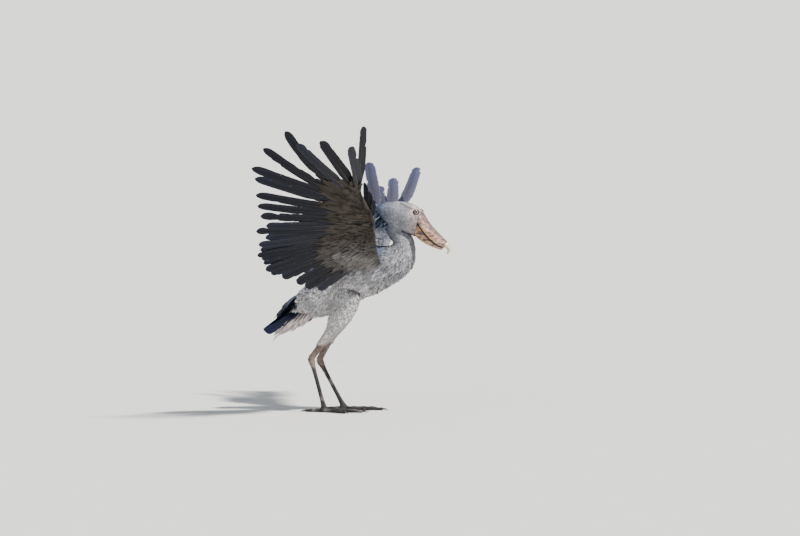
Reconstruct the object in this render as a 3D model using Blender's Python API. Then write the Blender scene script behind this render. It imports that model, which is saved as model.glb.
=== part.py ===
"""Shoebill, a life-size museum-type model standing with its wings raised.

Metres, +X forward, +Y the bird's left, +Z up. The toes rest on z = 0, and the
finished model is centred on its own footprint. Flesh is lofted from rings, each
feather is a tapered vane, and a node's feathers are fused to it by one union.
"""
import math
import random

import bmesh
import bpy
from mathutils import Vector

GAP = 0.0003
SEED = 11
RIGHT, LEFT = -1, 1
UP = Vector((0, 0, 1))
ACROSS = Vector((0, 1, 0))
AHEAD = Vector((1, 0, 0))

# Torso: x, z, half height, half width, lean of the spine in degrees
TORSO = (
    (-0.160, 0.463, 0.050, 0.044, 30),
    (-0.095, 0.487, 0.078, 0.070, 30),
    (-0.015, 0.530, 0.095, 0.090, 31),
    (0.080, 0.585, 0.097, 0.101, 31),
    (0.165, 0.628, 0.105, 0.104, 33),
    (0.242, 0.662, 0.094, 0.096, 42),
    (0.288, 0.690, 0.082, 0.080, 58),
)
NECK = (
    (0.312, 0.728, 0.0585, 0.058, 80),
    (0.312, 0.768, 0.045, 0.047, 112),
    (0.285, 0.800, 0.041, 0.042, 138),
    (0.262, 0.838, 0.041, 0.040, 125),
)
HEAD = (
    (0.201, 0.896, 0.020, 0.021, 30),
    (0.222, 0.882, 0.042, 0.039, 20),
    (0.262, 0.874, 0.060, 0.050, 8),
    (0.308, 0.872, 0.0645, 0.055, -2),
    (0.352, 0.860, 0.0665, 0.054, -10),
    (0.3875, 0.8393, 0.0577, 0.050, -15.2),
)
HEAD_SQUARE = 2.7

# Bill sections from the face to the tip: culmen, gape and underside in x, z, then half width
BILL = (
    ((0.4027, 0.8950), (0.3890, 0.8445), (0.3725, 0.7836), 0.046),
    ((0.4288, 0.8521), (0.4120, 0.8120), (0.3950, 0.7665), 0.050),
    ((0.4563, 0.8190), (0.4380, 0.7810), (0.4225, 0.7495), 0.051),
    ((0.4949, 0.7816), (0.4725, 0.7505), (0.4610, 0.7325), 0.043),
    ((0.5200, 0.7575), (0.4990, 0.7365), (0.4890, 0.7236), 0.028),
)
# Hook: x, z, half depth, half width, lean
HOOK = (
    (0.5105, 0.7475, 0.0130, 0.0220, -42),
    (0.5225, 0.7350, 0.0105, 0.0165, -58),
    (0.5250, 0.7225, 0.0075, 0.0110, -95),
    (0.5190, 0.7125, 0.0045, 0.0060, -120),
    (0.5109, 0.7047, 0.0010, 0.0012, -130),
)
MOUTH_GAP = 0.0006
NOSTRIL_AT = (0.4265, 0.0150, 0.8520)

EYE_AT = (0.3835, 0.0385, 0.8920)
EYE_RADIUS = 0.0115
LID_RADIUS = 0.0125

CREST_COUNT = 9
CREST_LENGTH = 0.058

# Legs: x, y out from the midline, z, half depth, half width
THIGH = (
    (0.078, 0.058, 0.540, 0.064, 0.042),
    (0.060, 0.070, 0.465, 0.056, 0.043),
    (0.030, 0.077, 0.400, 0.041, 0.034),
    (0.004, 0.081, 0.356, 0.0275, 0.025),
)
HEEL_RIGHT = (-0.0860, 0.084, 0.238)
HEEL_LEFT = (-0.0890, 0.076, 0.222)
FOOT_RIGHT = (-0.024, 0.087, 0.016)
FOOT_LEFT = (0.022, 0.080, 0.016)
# The left thigh stands this much further back
LEFT_THIGH_BACK = 0.034
HEEL_HALF = (0.0158, 0.0150)
# Shank and tarsus: share of the way down, half depth, half width
SHANK = ((0.42, 0.0175, 0.0165), (0.80, 0.0145, 0.0138))
TARSUS = ((0.12, 0.0112, 0.0103), (0.45, 0.0094, 0.0087), (0.88, 0.0105, 0.0097))
HUB_RADIUS = 0.0225
HUB = ((0.0205, 0.0170), (0.0140, HUB_RADIUS), (0.0, HUB_RADIUS * 0.93))
# Toes: name, bearing out from straight ahead in degrees, length with no claw
TOES = (
    ("middle", 3, 0.178),
    ("inner", -32, 0.138),
    ("outer", 36, 0.145),
    ("hind", 176, 0.085),
)
TOE_HALF = 0.0078
TOE_START = HUB_RADIUS - 0.006
# Toe and claw: share of the length, share of the width, height
TOE_PLAN = ((0.0, 0.80, 0.0085), (0.18, 0.98, 0.0085), (0.45, 1.0, 0.0080), (0.62, 0.84, 0.0072),
            (0.85, 0.90, 0.0070), (1.0, 0.72, 0.0066))
CLAW_LENGTH = 0.026
CLAW_PLAN = ((0.0, 0.66, 0.0066), (0.35, 0.52, 0.0068), (0.7, 0.30, 0.0050))
CLAW_TIP_HEIGHT = 0.0012

# Wings: shoulder, elbow, wrist and fingertip of each side, y out from the midline
ARM_RIGHT = ((0.236, 0.090, 0.668), (0.1246, 0.270, 0.764), (0.283, 0.446, 0.8685), (0.2574, 0.600, 1.0186))
ARM_LEFT = ((0.215, 0.090, 0.672), (0.090, 0.270, 0.745), (0.190, 0.440, 0.862), (0.160, 0.600, 0.934))
ARM_THICK = (0.034, 0.030, 0.026, 0.022)
# Hand: share of the way from wrist to fingertip, share of the full section
HAND = ((0.35, 0.92), (0.70, 0.70), (1.0, 0.42))
HAND_HALF = (0.022, 0.011)
# Outermost primary first. The fan is measured in the side view from straight ahead
PRIMARY_LENGTH = (0.44, 0.48, 0.53, 0.57, 0.60, 0.605, 0.59, 0.56, 0.53, 0.51)
FAN_RIGHT = (71, 74, 104, 123, 126, 143, 156, 160, 168, 173)
FAN_LEFT = (109, 156, 170, 150, 175, 182, 186, 189, 193, 195)
OUT_RIGHT = (46, 62, 60, 57, 48, 44, 39, 37, 33, 28)
OUT_LEFT = (74, 69, 63, 57, 54, 48, 43, 37, 32, 28)
# Secondaries run inward from the wrist, between these ends
SECONDARIES = 15
SECONDARY_LENGTH = (0.50, 0.47, 0.43, 0.37, 0.29)
SECONDARY_FAN_RIGHT = (177, 186, 194, 203, 216)
SECONDARY_FAN_LEFT = (198, 202, 206, 211, 220)
SECONDARY_OUT = (23, 17, 12, 6, -4)
CURL_RIGHT = (0.02, 0.02, 0.03, 0.04, 0.04, 0.03, 0.03, 0.02, 0.02, 0.02)
CURL_LEFT = (0.03, 0.20, 0.20, 0.18, 0.10, 0.05, 0.03, 0.02, 0.02, 0.02)
SWEEP_RIGHT = (0.0, 0.0, 0.0, 0.02, 0.13, 0.07, 0.0, 0.0, 0.0, 0.0)
SWEEP_LEFT = (0.0,) * 10
PRIMARY_WIDTH = 0.046
SECONDARY_WIDTH = 0.054
SHINGLE_DEG = 10
COVERT_ROOT = 0.0060
FAN_READ_AT = 0.15
FAN_WINDOW = 2
# Coverts: share of the flight feather's length, width, height off its plane, every nth feather
GREATER_COVERTS = (0.41, 0.80, 0.0130, 1)
MEDIAN_COVERTS = (0.25, 1.15, 0.0200, 3)
WRIST_COVERT = 0.62
ALULA_LENGTH = (0.148, 0.118, 0.090)
# Share of a feather's length and of its width at each station
LONG_VANE = ((0.0, 0.22), (0.22, 0.80), (0.55, 1.0), (0.90, 0.68))
SHORT_VANE = ((0.0, 0.25), (0.45, 1.0), (0.86, 0.66))

TAIL_ROOT = (-0.1550, 0.4640)
TAIL_TIP = (-0.3130, 0.3500)
RECTRICES = 12
TAIL_SPREAD_DEG = 13
# Undertail coverts: distance behind the torso, depth under the spine, half spread, length, count
UNDERTAIL = ((0.024, 0.018, 0.030, 0.145, 6), (0.018, 0.028, 0.034, 0.105, 5),
             (0.014, 0.036, 0.030, 0.066, 4))
UNDERTAIL_FALL_DEG = 9
UPPERTAIL_LENGTH = 0.085
UPPERTAIL_COUNT = 6


def material(name, color, roughness):
    made = bpy.data.materials.new(name)
    made.use_nodes = True
    shader = made.node_tree.nodes["Principled BSDF"]
    shader.inputs["Base Color"].default_value = (*color, 1)
    shader.inputs["Roughness"].default_value = roughness
    made.diffuse_color = (*color, 1)
    return made


def mix(a, b, t):
    return tuple(p + (q - p) * t for p, q in zip(a, b))


def along_list(values, t):
    """Value at t, 0 to 1, of a list read as a smooth curve."""
    spot = t * (len(values) - 1)
    i = min(int(spot), len(values) - 2)
    u = spot - i
    p = [values[min(max(i + k, 0), len(values) - 1)] for k in (-1, 0, 1, 2)]
    if isinstance(p[0], tuple):
        return tuple(catmull(column, u) for column in zip(*p))
    return catmull(p, u)


def catmull(p, u):
    return 0.5 * (2 * p[1] + (p[2] - p[0]) * u + (2 * p[0] - 5 * p[1] + 4 * p[2] - p[3]) * u ** 2
                  + (3 * p[1] - p[0] - 3 * p[2] + p[3]) * u ** 3)


def ring(centre, side, up, half_side, half_up, count, square=2.0, turn=0.0):
    """Points of a superellipse round a centre."""
    points = []
    for k in range(count):
        angle = 2 * math.pi * k / count + turn
        c, s = math.cos(angle), math.sin(angle)
        a = math.copysign(abs(c) ** (2 / square), c) * half_side
        b = math.copysign(abs(s) ** (2 / square), s) * half_up
        points.append(Vector(centre) + side * a + up * b)
    return points


def body_rings(stations, count, square=2.0, steps=2, grow=0.0):
    """Rings square to a spine in the plane y = 0, with steps rings to each pair of stations."""
    rings = []
    total = (len(stations) - 1) * steps
    for k in range(total + 1):
        x, z, half_up, half_side, lean = along_list(stations, k / total)
        tilt = math.radians(lean)
        up = Vector((-math.sin(tilt), 0, math.cos(tilt)))
        rings.append(ring((x, 0, z), Vector((0, 1, 0)), up, half_side + grow, half_up + grow, count, square))
    return rings


def shifted(points, offset):
    return [p + offset for p in points]


def ring_normal(points):
    total = Vector()
    middle = sum(points, Vector()) / len(points)
    for a, b in zip(points, points[1:] + points[:1]):
        total += (a - middle).cross(b - middle)
    return total.normalized()


def with_end_gaps(rings, first=False, last=False):
    """Draws the end rings back by half a gap, where another node begins."""
    rings = list(rings)
    for wanted, end, inward in ((first, 0, 1), (last, -1, -2)):
        if wanted:
            normal = ring_normal(rings[end])
            inside = sum(rings[inward], Vector()) - sum(rings[end], Vector())
            rings[end] = shifted(rings[end], normal * math.copysign(GAP / 2, normal.dot(inside)))
    return rings


def loft(name, rings, finish, tip=None, tail=None):
    """A closed solid through rings of equal count. A tip or tail point closes an end."""
    bm = bmesh.new()
    rows = [[bm.verts.new(p) for p in points] for points in rings]
    count = len(rows[0])
    for a, b in zip(rows, rows[1:]):
        for k in range(count):
            n = (k + 1) % count
            bm.faces.new((a[k], a[n], b[n]))
            bm.faces.new((a[k], b[n], b[k]))
    for row, point, flip in ((rows[0], tail, True), (rows[-1], tip, False)):
        if point is None:
            bm.faces.new(list(reversed(row)) if flip else row)
        else:
            end = bm.verts.new(point)
            for k in range(count):
                n = (k + 1) % count
                bm.faces.new((row[n], row[k], end) if flip else (row[k], row[n], end))
    bmesh.ops.recalc_face_normals(bm, faces=bm.faces)
    mesh = bpy.data.meshes.new(name)
    bm.to_mesh(mesh)
    bm.free()
    mesh.materials.append(finish)
    made = bpy.data.objects.new(name, mesh)
    model.objects.link(made)
    return made


def vane(root, tip, dorsal, width, finish, tilt=0.0, lift=0.0, sweep=0.0, thick=0.0024, profile=LONG_VANE):
    """A feather: a bowed blade of lens section, whose two faces are split into triangles alike."""
    root, tip = Vector(root), Vector(tip)
    run = tip - root
    length = run.length
    ahead = run.normalized()
    flat = (dorsal - ahead * dorsal.dot(ahead)).normalized()
    side = ahead.cross(flat)
    turned = math.cos(tilt) * side + math.sin(tilt) * flat
    face = math.cos(tilt) * flat - math.sin(tilt) * side
    middle = (root + tip) / 2 + flat * lift * length + side * sweep * length
    bm = bmesh.new()
    rows = []
    for t, wide in profile:
        centre = root * (1 - t) ** 2 + middle * 2 * t * (1 - t) + tip * t ** 2
        half = width * wide / 2
        deep = thick * (1 - 0.55 * t) / 2
        rows.append([bm.verts.new(centre + turned * half), bm.verts.new(centre + face * deep),
                     bm.verts.new(centre - turned * half), bm.verts.new(centre - face * deep)])
    end = bm.verts.new(tip)
    for a, b in zip(rows, rows[1:]):
        for k, n in ((0, 1), (2, 1), (0, 3), (2, 3)):
            bm.faces.new((a[k], a[n], b[n]))
            bm.faces.new((a[k], b[n], b[k]))
    for k in range(4):
        bm.faces.new((rows[-1][k], rows[-1][(k + 1) % 4], end))
    first = rows[0]
    bm.faces.new((first[0], first[1], first[3]))
    bm.faces.new((first[1], first[2], first[3]))
    bmesh.ops.recalc_face_normals(bm, faces=bm.faces)
    mesh = bpy.data.meshes.new("vane")
    bm.to_mesh(mesh)
    bm.free()
    mesh.materials.append(finish)
    made = bpy.data.objects.new("vane", mesh)
    cutters.objects.link(made)
    return made


def keep_largest(obj):
    """Leaves only the closed surface that holds the most space."""
    bm = bmesh.new()
    bm.from_mesh(obj.data)
    left = set(bm.verts)
    shells = []
    while left:
        found, edge = set(), [left.pop()]
        while edge:
            vert = edge.pop()
            found.add(vert)
            for link in vert.link_edges:
                other = link.other_vert(vert)
                if other in left:
                    left.discard(other)
                    edge.append(other)
        shells.append(found)
    if len(shells) > 1:
        def size(shell):
            faces = {f for v in shell for f in v.link_faces}
            return abs(sum(f.calc_center_median().dot(f.normal) * f.calc_area() for f in faces))
        shells.sort(key=size)
        bmesh.ops.delete(bm, geom=[v for shell in shells[:-1] for v in shell], context="VERTS")
    bm.to_mesh(obj.data)
    bm.free()


def combine(obj, pieces, operation, solver="EXACT"):
    """Joins closed pieces to an object, or cuts them from it, and clears them away."""
    group = bpy.data.collections.new("joined")
    bpy.context.scene.collection.children.link(group)
    for piece in pieces:
        for home in list(piece.users_collection):
            home.objects.unlink(piece)
        group.objects.link(piece)
    change = obj.modifiers.new("joined", "BOOLEAN")
    change.operation = operation
    change.operand_type = "COLLECTION"
    change.collection = group
    change.solver = solver
    bpy.context.view_layer.update()
    shape = bpy.data.meshes.new_from_object(obj.evaluated_get(bpy.context.evaluated_depsgraph_get()))
    obj.modifiers.remove(change)
    obj.data = shape
    for piece in pieces:
        bpy.data.objects.remove(piece)
    bpy.data.collections.remove(group)
    keep_largest(obj)


def body_core(name, stations, count, finish, square=2.0, steps=2, grow=0.0):
    return loft(name, body_rings(stations, count, square, steps, grow), finish)


def ball(name, centre, radius, finish, segments=14, rows=9):
    bm = bmesh.new()
    bmesh.ops.create_uvsphere(bm, u_segments=segments, v_segments=rows, radius=radius)
    turn = ACROSS.rotation_difference(UP).to_matrix()
    bmesh.ops.rotate(bm, cent=(0, 0, 0), matrix=turn, verts=bm.verts)
    bmesh.ops.translate(bm, vec=centre, verts=bm.verts)
    mesh = bpy.data.meshes.new(name)
    bm.to_mesh(mesh)
    bm.free()
    mesh.materials.append(finish)
    made = bpy.data.objects.new(name, mesh)
    model.objects.link(made)
    return made


def lid(centre, outward, radius, finish):
    """A ring of skin round the eye."""
    across = outward.cross(UP).normalized()
    over = across.cross(outward)
    count, sides, bead = 12, 5, 0.0028
    bm = bmesh.new()
    rows = []
    for k in range(count):
        angle = 2 * math.pi * k / count
        spoke = across * math.cos(angle) + over * math.sin(angle) * 0.86
        row = []
        for j in range(sides):
            turn = 2 * math.pi * j / sides
            swell = spoke * math.cos(turn) + outward * math.sin(turn)
            row.append(bm.verts.new(centre + spoke * radius + swell * bead))
        rows.append(row)
    for k in range(count):
        a, b = rows[k], rows[(k + 1) % count]
        for j in range(sides):
            n = (j + 1) % sides
            bm.faces.new((a[j], a[n], b[n], b[j]))
    bmesh.ops.recalc_face_normals(bm, faces=bm.faces)
    mesh = bpy.data.meshes.new("lid")
    bm.to_mesh(mesh)
    bm.free()
    mesh.materials.append(finish)
    made = bpy.data.objects.new("lid", mesh)
    cutters.objects.link(made)
    return made


def bill_rings(upper, steps=2):
    """Rings of one half of the bill, flat where the mouth closes."""
    rings = []
    total = (len(BILL) - 1) * steps
    count = 9
    flat = [(c[0] + c[1] + c[2] + (c[3],)) for c in BILL]
    for k in range(total + 1):
        x1, z1, x2, z2, x3, z3, half = along_list(flat, k / total)
        top, gape, under = Vector((x1, 0, z1)), Vector((x2, 0, z2)), Vector((x3, 0, z3))
        reach = (top - gape) if upper else (under - gape)
        up = reach.normalized()
        power = 2.5 if upper else 3.0
        wide = half if upper else half * 0.93
        points = []
        for j in range(count):
            angle = math.pi * j / (count - 1)
            c, s = math.cos(angle), math.sin(angle)
            across = math.copysign(abs(c) ** (2 / power), c) * wide
            rise = MOUTH_GAP / 2 + abs(s) ** (2 / power) * (reach.length - MOUTH_GAP / 2)
            if upper and j == (count - 1) // 2:
                rise += 0.0015
            points.append(gape + Vector((0, across, 0)) + up * rise)
        rings.append(points if upper else list(reversed(points)))
    return rings


def make_head():
    head = body_core("head", HEAD, 20, plumage, HEAD_SQUARE)
    rings = body_rings(HEAD, 20, HEAD_SQUARE)
    upper = bill_rings(True)
    lower = bill_rings(False)
    start = Vector((math.cos(math.radians(-15.2)), 0, math.sin(math.radians(-15.2)))) * GAP
    upper[0] = shifted(upper[0], start)
    lower[0] = shifted(lower[0], start)
    upper_bill = loft("upper_bill", upper, horn)
    loft("lower_bill", lower, horn)
    hook = []
    for x, z, deep, wide, lean in HOOK[:-1]:
        tilt = math.radians(lean)
        up = Vector((-math.sin(tilt), 0, math.cos(tilt)))
        hook.append(ring((x, 0, z), ACROSS, up, wide, deep, 10))
    slots = []
    for sign in (RIGHT, LEFT):
        x, y, z = NOSTRIL_AT
        slots.append(slot_cutter((x, y * sign, z), 0.007, 0.0016, 0.004))
    combine(upper_bill, slots, "DIFFERENCE")
    tip = Vector((HOOK[-1][0], 0, HOOK[-1][1]))
    hook_piece = loft("bill_hook", hook, horn_pale, tip=tip)
    cut_clear(hook_piece, [loft("grown", bill_grown(), horn)])

    sockets, lids = [], []
    for sign, label in ((RIGHT, "right"), (LEFT, "left")):
        x, y, z = EYE_AT
        centre = Vector((x, y * sign, z))
        outward = Vector((0.30, sign, 0.10)).normalized()
        ball("eye_" + label, centre, EYE_RADIUS, eye)
        sockets.append(ball("socket", centre, EYE_RADIUS + GAP, eye))
        lids.append(lid(centre + outward * 0.0045, outward, LID_RADIUS, plumage))
    locks = []
    for k in range(CREST_COUNT):
        spread = 2 * k / (CREST_COUNT - 1) - 1
        tier = k % 3
        start = Vector((0.218, spread * 0.017, 0.902 - 0.006 * tier))
        length = CREST_LENGTH * random.uniform(0.9, 1.1) * (1.35 - 0.30 * tier)
        end = start + Vector((-0.034 + 0.006 * tier, spread * 0.016, 0)) - UP * length
        locks.append(vane(start, end, Vector((-1, 0, 0.2)), 0.013, plumage, lift=0.22, thick=0.003))
    combine(head, lids + locks, "UNION")
    combine(head, sockets, "DIFFERENCE")
    return head


def bill_grown():
    """The upper bill again, a gap wider all round, to cut what meets it."""
    rings = []
    for points in bill_rings(True):
        middle = sum(points, Vector()) / len(points)
        rings.append([p + (p - middle).normalized() * GAP * 1.5 for p in points])
    end = ring_normal(rings[-1]) * GAP
    rings[-1] = shifted(rings[-1], end)
    return rings


def slot_cutter(centre, long, half, deep):
    """A short slanted slot for a nostril."""
    lean = math.radians(-50)
    ahead = Vector((math.cos(lean), 0, math.sin(lean)))
    over = Vector((-math.sin(lean), 0, math.cos(lean)))
    across = Vector((0, 1, 0))
    centre = Vector(centre)
    rings = []
    for t in (-1, 1):
        rings.append([centre + ahead * long * t + across * half * a + over * deep * b
                      for a, b in ((-1, -1), (1, -1), (1, 1), (-1, 1))])
    return loft("slot", rings, horn)


def cut_clear(obj, others):
    combine(obj, others, "DIFFERENCE")


def chain(points, halves_ahead, halves_side, count, square=2.0):
    """Rings square to a path through points, with depth along X and width along Y."""
    rings = []
    points = [Vector(p) for p in points]
    for k, p in enumerate(points):
        a, b = points[max(k - 1, 0)], points[min(k + 1, len(points) - 1)]
        ahead = (b - a).normalized()
        side = (Vector((0, 1, 0)) - ahead * ahead.y).normalized()
        up = ahead.cross(side)
        rings.append(ring(p, side, up, halves_side[k], halves_ahead[k], count, square))
    return rings


def make_leg(sign, label, torso_cutter):
    heel = HEEL_RIGHT if sign == RIGHT else HEEL_LEFT
    foot = FOOT_RIGHT if sign == RIGHT else FOOT_LEFT
    fall = 0.0 if sign == RIGHT else -0.012
    back = 0.0 if sign == RIGHT else LEFT_THIGH_BACK
    path = [(x - back, y * sign, z + fall * (0.56 - z) / 0.2) for x, y, z, deep, wide in THIGH]
    deep = [s[3] for s in THIGH]
    wide = [s[4] for s in THIGH]
    last = path[-1]
    heel = (heel[0], heel[1] * sign, heel[2])
    foot = (foot[0], foot[1] * sign, foot[2])
    path += [mix(last, heel, t) for t, half_deep, half_wide in SHANK] + [heel]
    deep += [s[1] for s in SHANK] + [HEEL_HALF[0]]
    wide += [s[2] for s in SHANK] + [HEEL_HALF[1]]
    rings = chain(path, deep, wide, 12)
    thigh_rings = 4
    heel_ring = ring(heel, ACROSS, AHEAD, HEEL_HALF[1], HEEL_HALF[0], 12)
    rings[-1] = heel_ring
    thigh = loft("thigh_" + label, with_end_gaps(rings[:thigh_rings], last=True), plumage)
    cut_clear(thigh, [torso_cutter])
    loft("shank_" + label, with_end_gaps(rings[thigh_rings - 1:], first=True, last=True), leg_skin)

    down = [heel] + [mix(heel, foot, t) for t, half_deep, half_wide in TARSUS]
    shin = chain(down, [HEEL_HALF[0]] + [s[1] for s in TARSUS], [HEEL_HALF[1]] + [s[2] for s in TARSUS], 12)
    shin[0] = heel_ring
    hub = [ring((foot[0], foot[1], z), ACROSS, AHEAD, r, r, 12) for z, r in HUB]
    loft("tarsus_" + label, with_end_gaps(shin + hub, first=True), leg_skin)

    for toe, bearing, length in TOES:
        turn = math.radians(bearing) * sign
        ahead = Vector((math.cos(turn), math.sin(turn), 0))
        side = Vector((-math.sin(turn), math.cos(turn), 0))
        rows = []
        for t, wide_at, high in TOE_PLAN:
            at = Vector((foot[0], foot[1], high * 0.92)) + ahead * (TOE_START + (length - TOE_START) * t)
            points = ring(at, side, UP, TOE_HALF * wide_at, high, 8, 2.0, math.pi / 8)
            rows.append([Vector((p.x, p.y, max(p.z, 0.0))) for p in points])
        piece = loft("toe_%s_%s" % (label, toe), with_end_gaps(rows, last=True), leg_skin)
        grown = [ring((foot[0], foot[1], z), ACROSS, -AHEAD, r + GAP, r + GAP, 12)
                 for z, r in ((0.0300, 0.0100),) + HUB[:2] + ((-0.01, HUB[2][1]),)]
        cut_clear(piece, [loft("grown", grown, leg_skin)])
        claw = []
        for t, size, high in CLAW_PLAN:
            at = Vector((foot[0], foot[1], high)) + ahead * (length + CLAW_LENGTH * t)
            claw.append(ring(at, side, UP, TOE_HALF * size * 0.8, 0.0062 * size, 8, 2.0, math.pi / 8))
        end = Vector((foot[0], foot[1], CLAW_TIP_HEIGHT)) + ahead * (length + CLAW_LENGTH)
        loft("claw_%s_%s" % (label, toe), with_end_gaps(claw, first=True), horn_dark, tip=end)


def aim(fan, out, sign):
    """Direction with a bearing in the side view and a lean outward, in degrees."""
    f, o = math.radians(fan), math.radians(out)
    return Vector((math.cos(f) * math.cos(o), sign * math.sin(o), math.sin(f) * math.cos(o)))


def fan_planes(spots, aims):
    """The dorsal direction of each feather, square to it and to the row that its neighbours stand in."""
    planes = []
    last = len(spots) - 1
    for k, ahead in enumerate(aims):
        along = spots[min(k + FAN_WINDOW, last)] - spots[max(k - FAN_WINDOW, 0)]
        plane = ahead.cross(along).normalized()
        planes.append(plane if plane.z > 0 else -plane)
    return planes


def make_wing(sign, label, arm, fans, outs, curls, sweeps, second_fans, torso_cutter):
    shoulder, elbow, wrist, finger = [Vector((x, y * sign, z)) for x, y, z in arm]
    hand_rows, arm_rows = [], []
    outer_plane = aim(fans[0], outs[0], sign).cross(aim(fans[-1], outs[-1], sign)).normalized()
    inner_plane = aim(second_fans[0], SECONDARY_OUT[0], sign).cross(wrist - elbow).normalized()
    outer_plane = outer_plane if outer_plane.z > 0 else -outer_plane
    inner_plane = inner_plane if inner_plane.z > 0 else -inner_plane

    back = elbow - shoulder
    parting = (aim(fans[-1], outs[-1], sign) + aim(second_fans[0], SECONDARY_OUT[0], sign)).normalized()
    lead = [shoulder + Vector((0.004, 0, 0)), shoulder.lerp(wrist, 0.30) + Vector((-0.006, 0, 0.003)),
            shoulder.lerp(wrist, 0.65) + Vector((0.002, 0, 0.002)), wrist - parting * 0.012]
    trail = [shoulder + Vector((-0.130, 0, 0.004)), shoulder + back * 0.62 + Vector((-0.052, 0, 0.0)),
             elbow.lerp(wrist, 0.35) + Vector((-0.030, 0, 0.0)), wrist + parting * 0.034]
    frames = [tuple(a) + tuple(b) + (deep,) for a, b, deep in zip(lead, trail, ARM_THICK)]
    for k in range(9):
        v = along_list(frames, k / 8)
        a, b = Vector(v[0:3]), Vector(v[3:6])
        side = (a - b).normalized()
        up = (inner_plane - side * inner_plane.dot(side)).normalized()
        arm_rows.append(ring((a + b) / 2, side, up, (a - b).length / 2, v[6] / 2, 12, 2.2))
    inner = loft("wing_%s_inner" % label, with_end_gaps(arm_rows, last=True), plumage)

    first = arm_rows[-1]
    hand_rows.append(first)
    for t, size in HAND:
        middle = wrist.lerp(finger, t)
        side = AHEAD - outer_plane * outer_plane.x
        side = (side - (finger - wrist).normalized() * side.dot((finger - wrist).normalized())).normalized()
        up = (outer_plane - side * outer_plane.dot(side)).normalized()
        hand_rows.append(ring(middle, side, up, HAND_HALF[0] * size, HAND_HALF[1] * size, 12, 2.2))
    outer = loft("wing_%s_outer" % label, with_end_gaps(hand_rows, first=True), plumage)

    tilt = math.radians(SHINGLE_DEG)
    row = []
    count = len(PRIMARY_LENGTH)
    for k in range(count):
        spot = 1 - (k + 0.5) / count * 0.92
        row.append((wrist.lerp(finger, spot), aim(fans[k], outs[k], sign), PRIMARY_LENGTH[k], PRIMARY_WIDTH,
                    curls[k], sweeps[k] * -sign))
    for k in range(SECONDARIES):
        t = k / (SECONDARIES - 1)
        spot = 0.07 + t * 1.40
        start = wrist.lerp(elbow, spot) if spot < 1 else elbow.lerp(shoulder, (spot - 1) * 1.2)
        ahead = aim(along_list(second_fans, t), along_list(SECONDARY_OUT, t), sign)
        row.append((start, ahead, along_list(SECONDARY_LENGTH, t), SECONDARY_WIDTH, 0.02, 0.0))
    planes = fan_planes([start + ahead * FAN_READ_AT for start, ahead, *rest in row], [r[1] for r in row])
    outer_feathers, inner_feathers = [], []
    for k, ((start, ahead, length, width, curl, sweep), plane) in enumerate(zip(row, planes)):
        home = outer_feathers if k < count else inner_feathers
        home.append(vane(start, start + ahead * length, plane, width, quill, tilt * sign, -curl, sweep))
        for share, wide, height, every in (GREATER_COVERTS, MEDIAN_COVERTS):
            reach = share * length * min(1.0, 0.62 + 0.08 * k)
            at_wrist = k in (count - 1, count)
            if k < 2 or (k - count) % every or (at_wrist and every > 1):
                continue
            if at_wrist:
                wide *= WRIST_COVERT
            for face in (1, -1):
                root = start - ahead * 0.006 + plane * face * (COVERT_ROOT + 0.15 * (height - 0.01))
                end = start + ahead * reach + plane * face * height
                home.append(vane(root, end, plane, width * wide, plumage, tilt * sign, face * 0.02,
                                 profile=SHORT_VANE))
    hand = (finger - wrist).normalized()
    for k, length in enumerate(ALULA_LENGTH):
        start = wrist.lerp(finger, 0.32 - 0.10 * k) - parting * 0.006
        ahead = (hand - parting * (0.25 + 0.22 * k)).normalized()
        outer_feathers.append(vane(start, start + ahead * length, outer_plane, 0.024, quill, tilt * sign, 0.03,
                                   profile=SHORT_VANE))
    combine(outer, outer_feathers, "UNION")
    combine(inner, inner_feathers, "UNION")
    cut_clear(inner, [torso_cutter])


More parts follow.
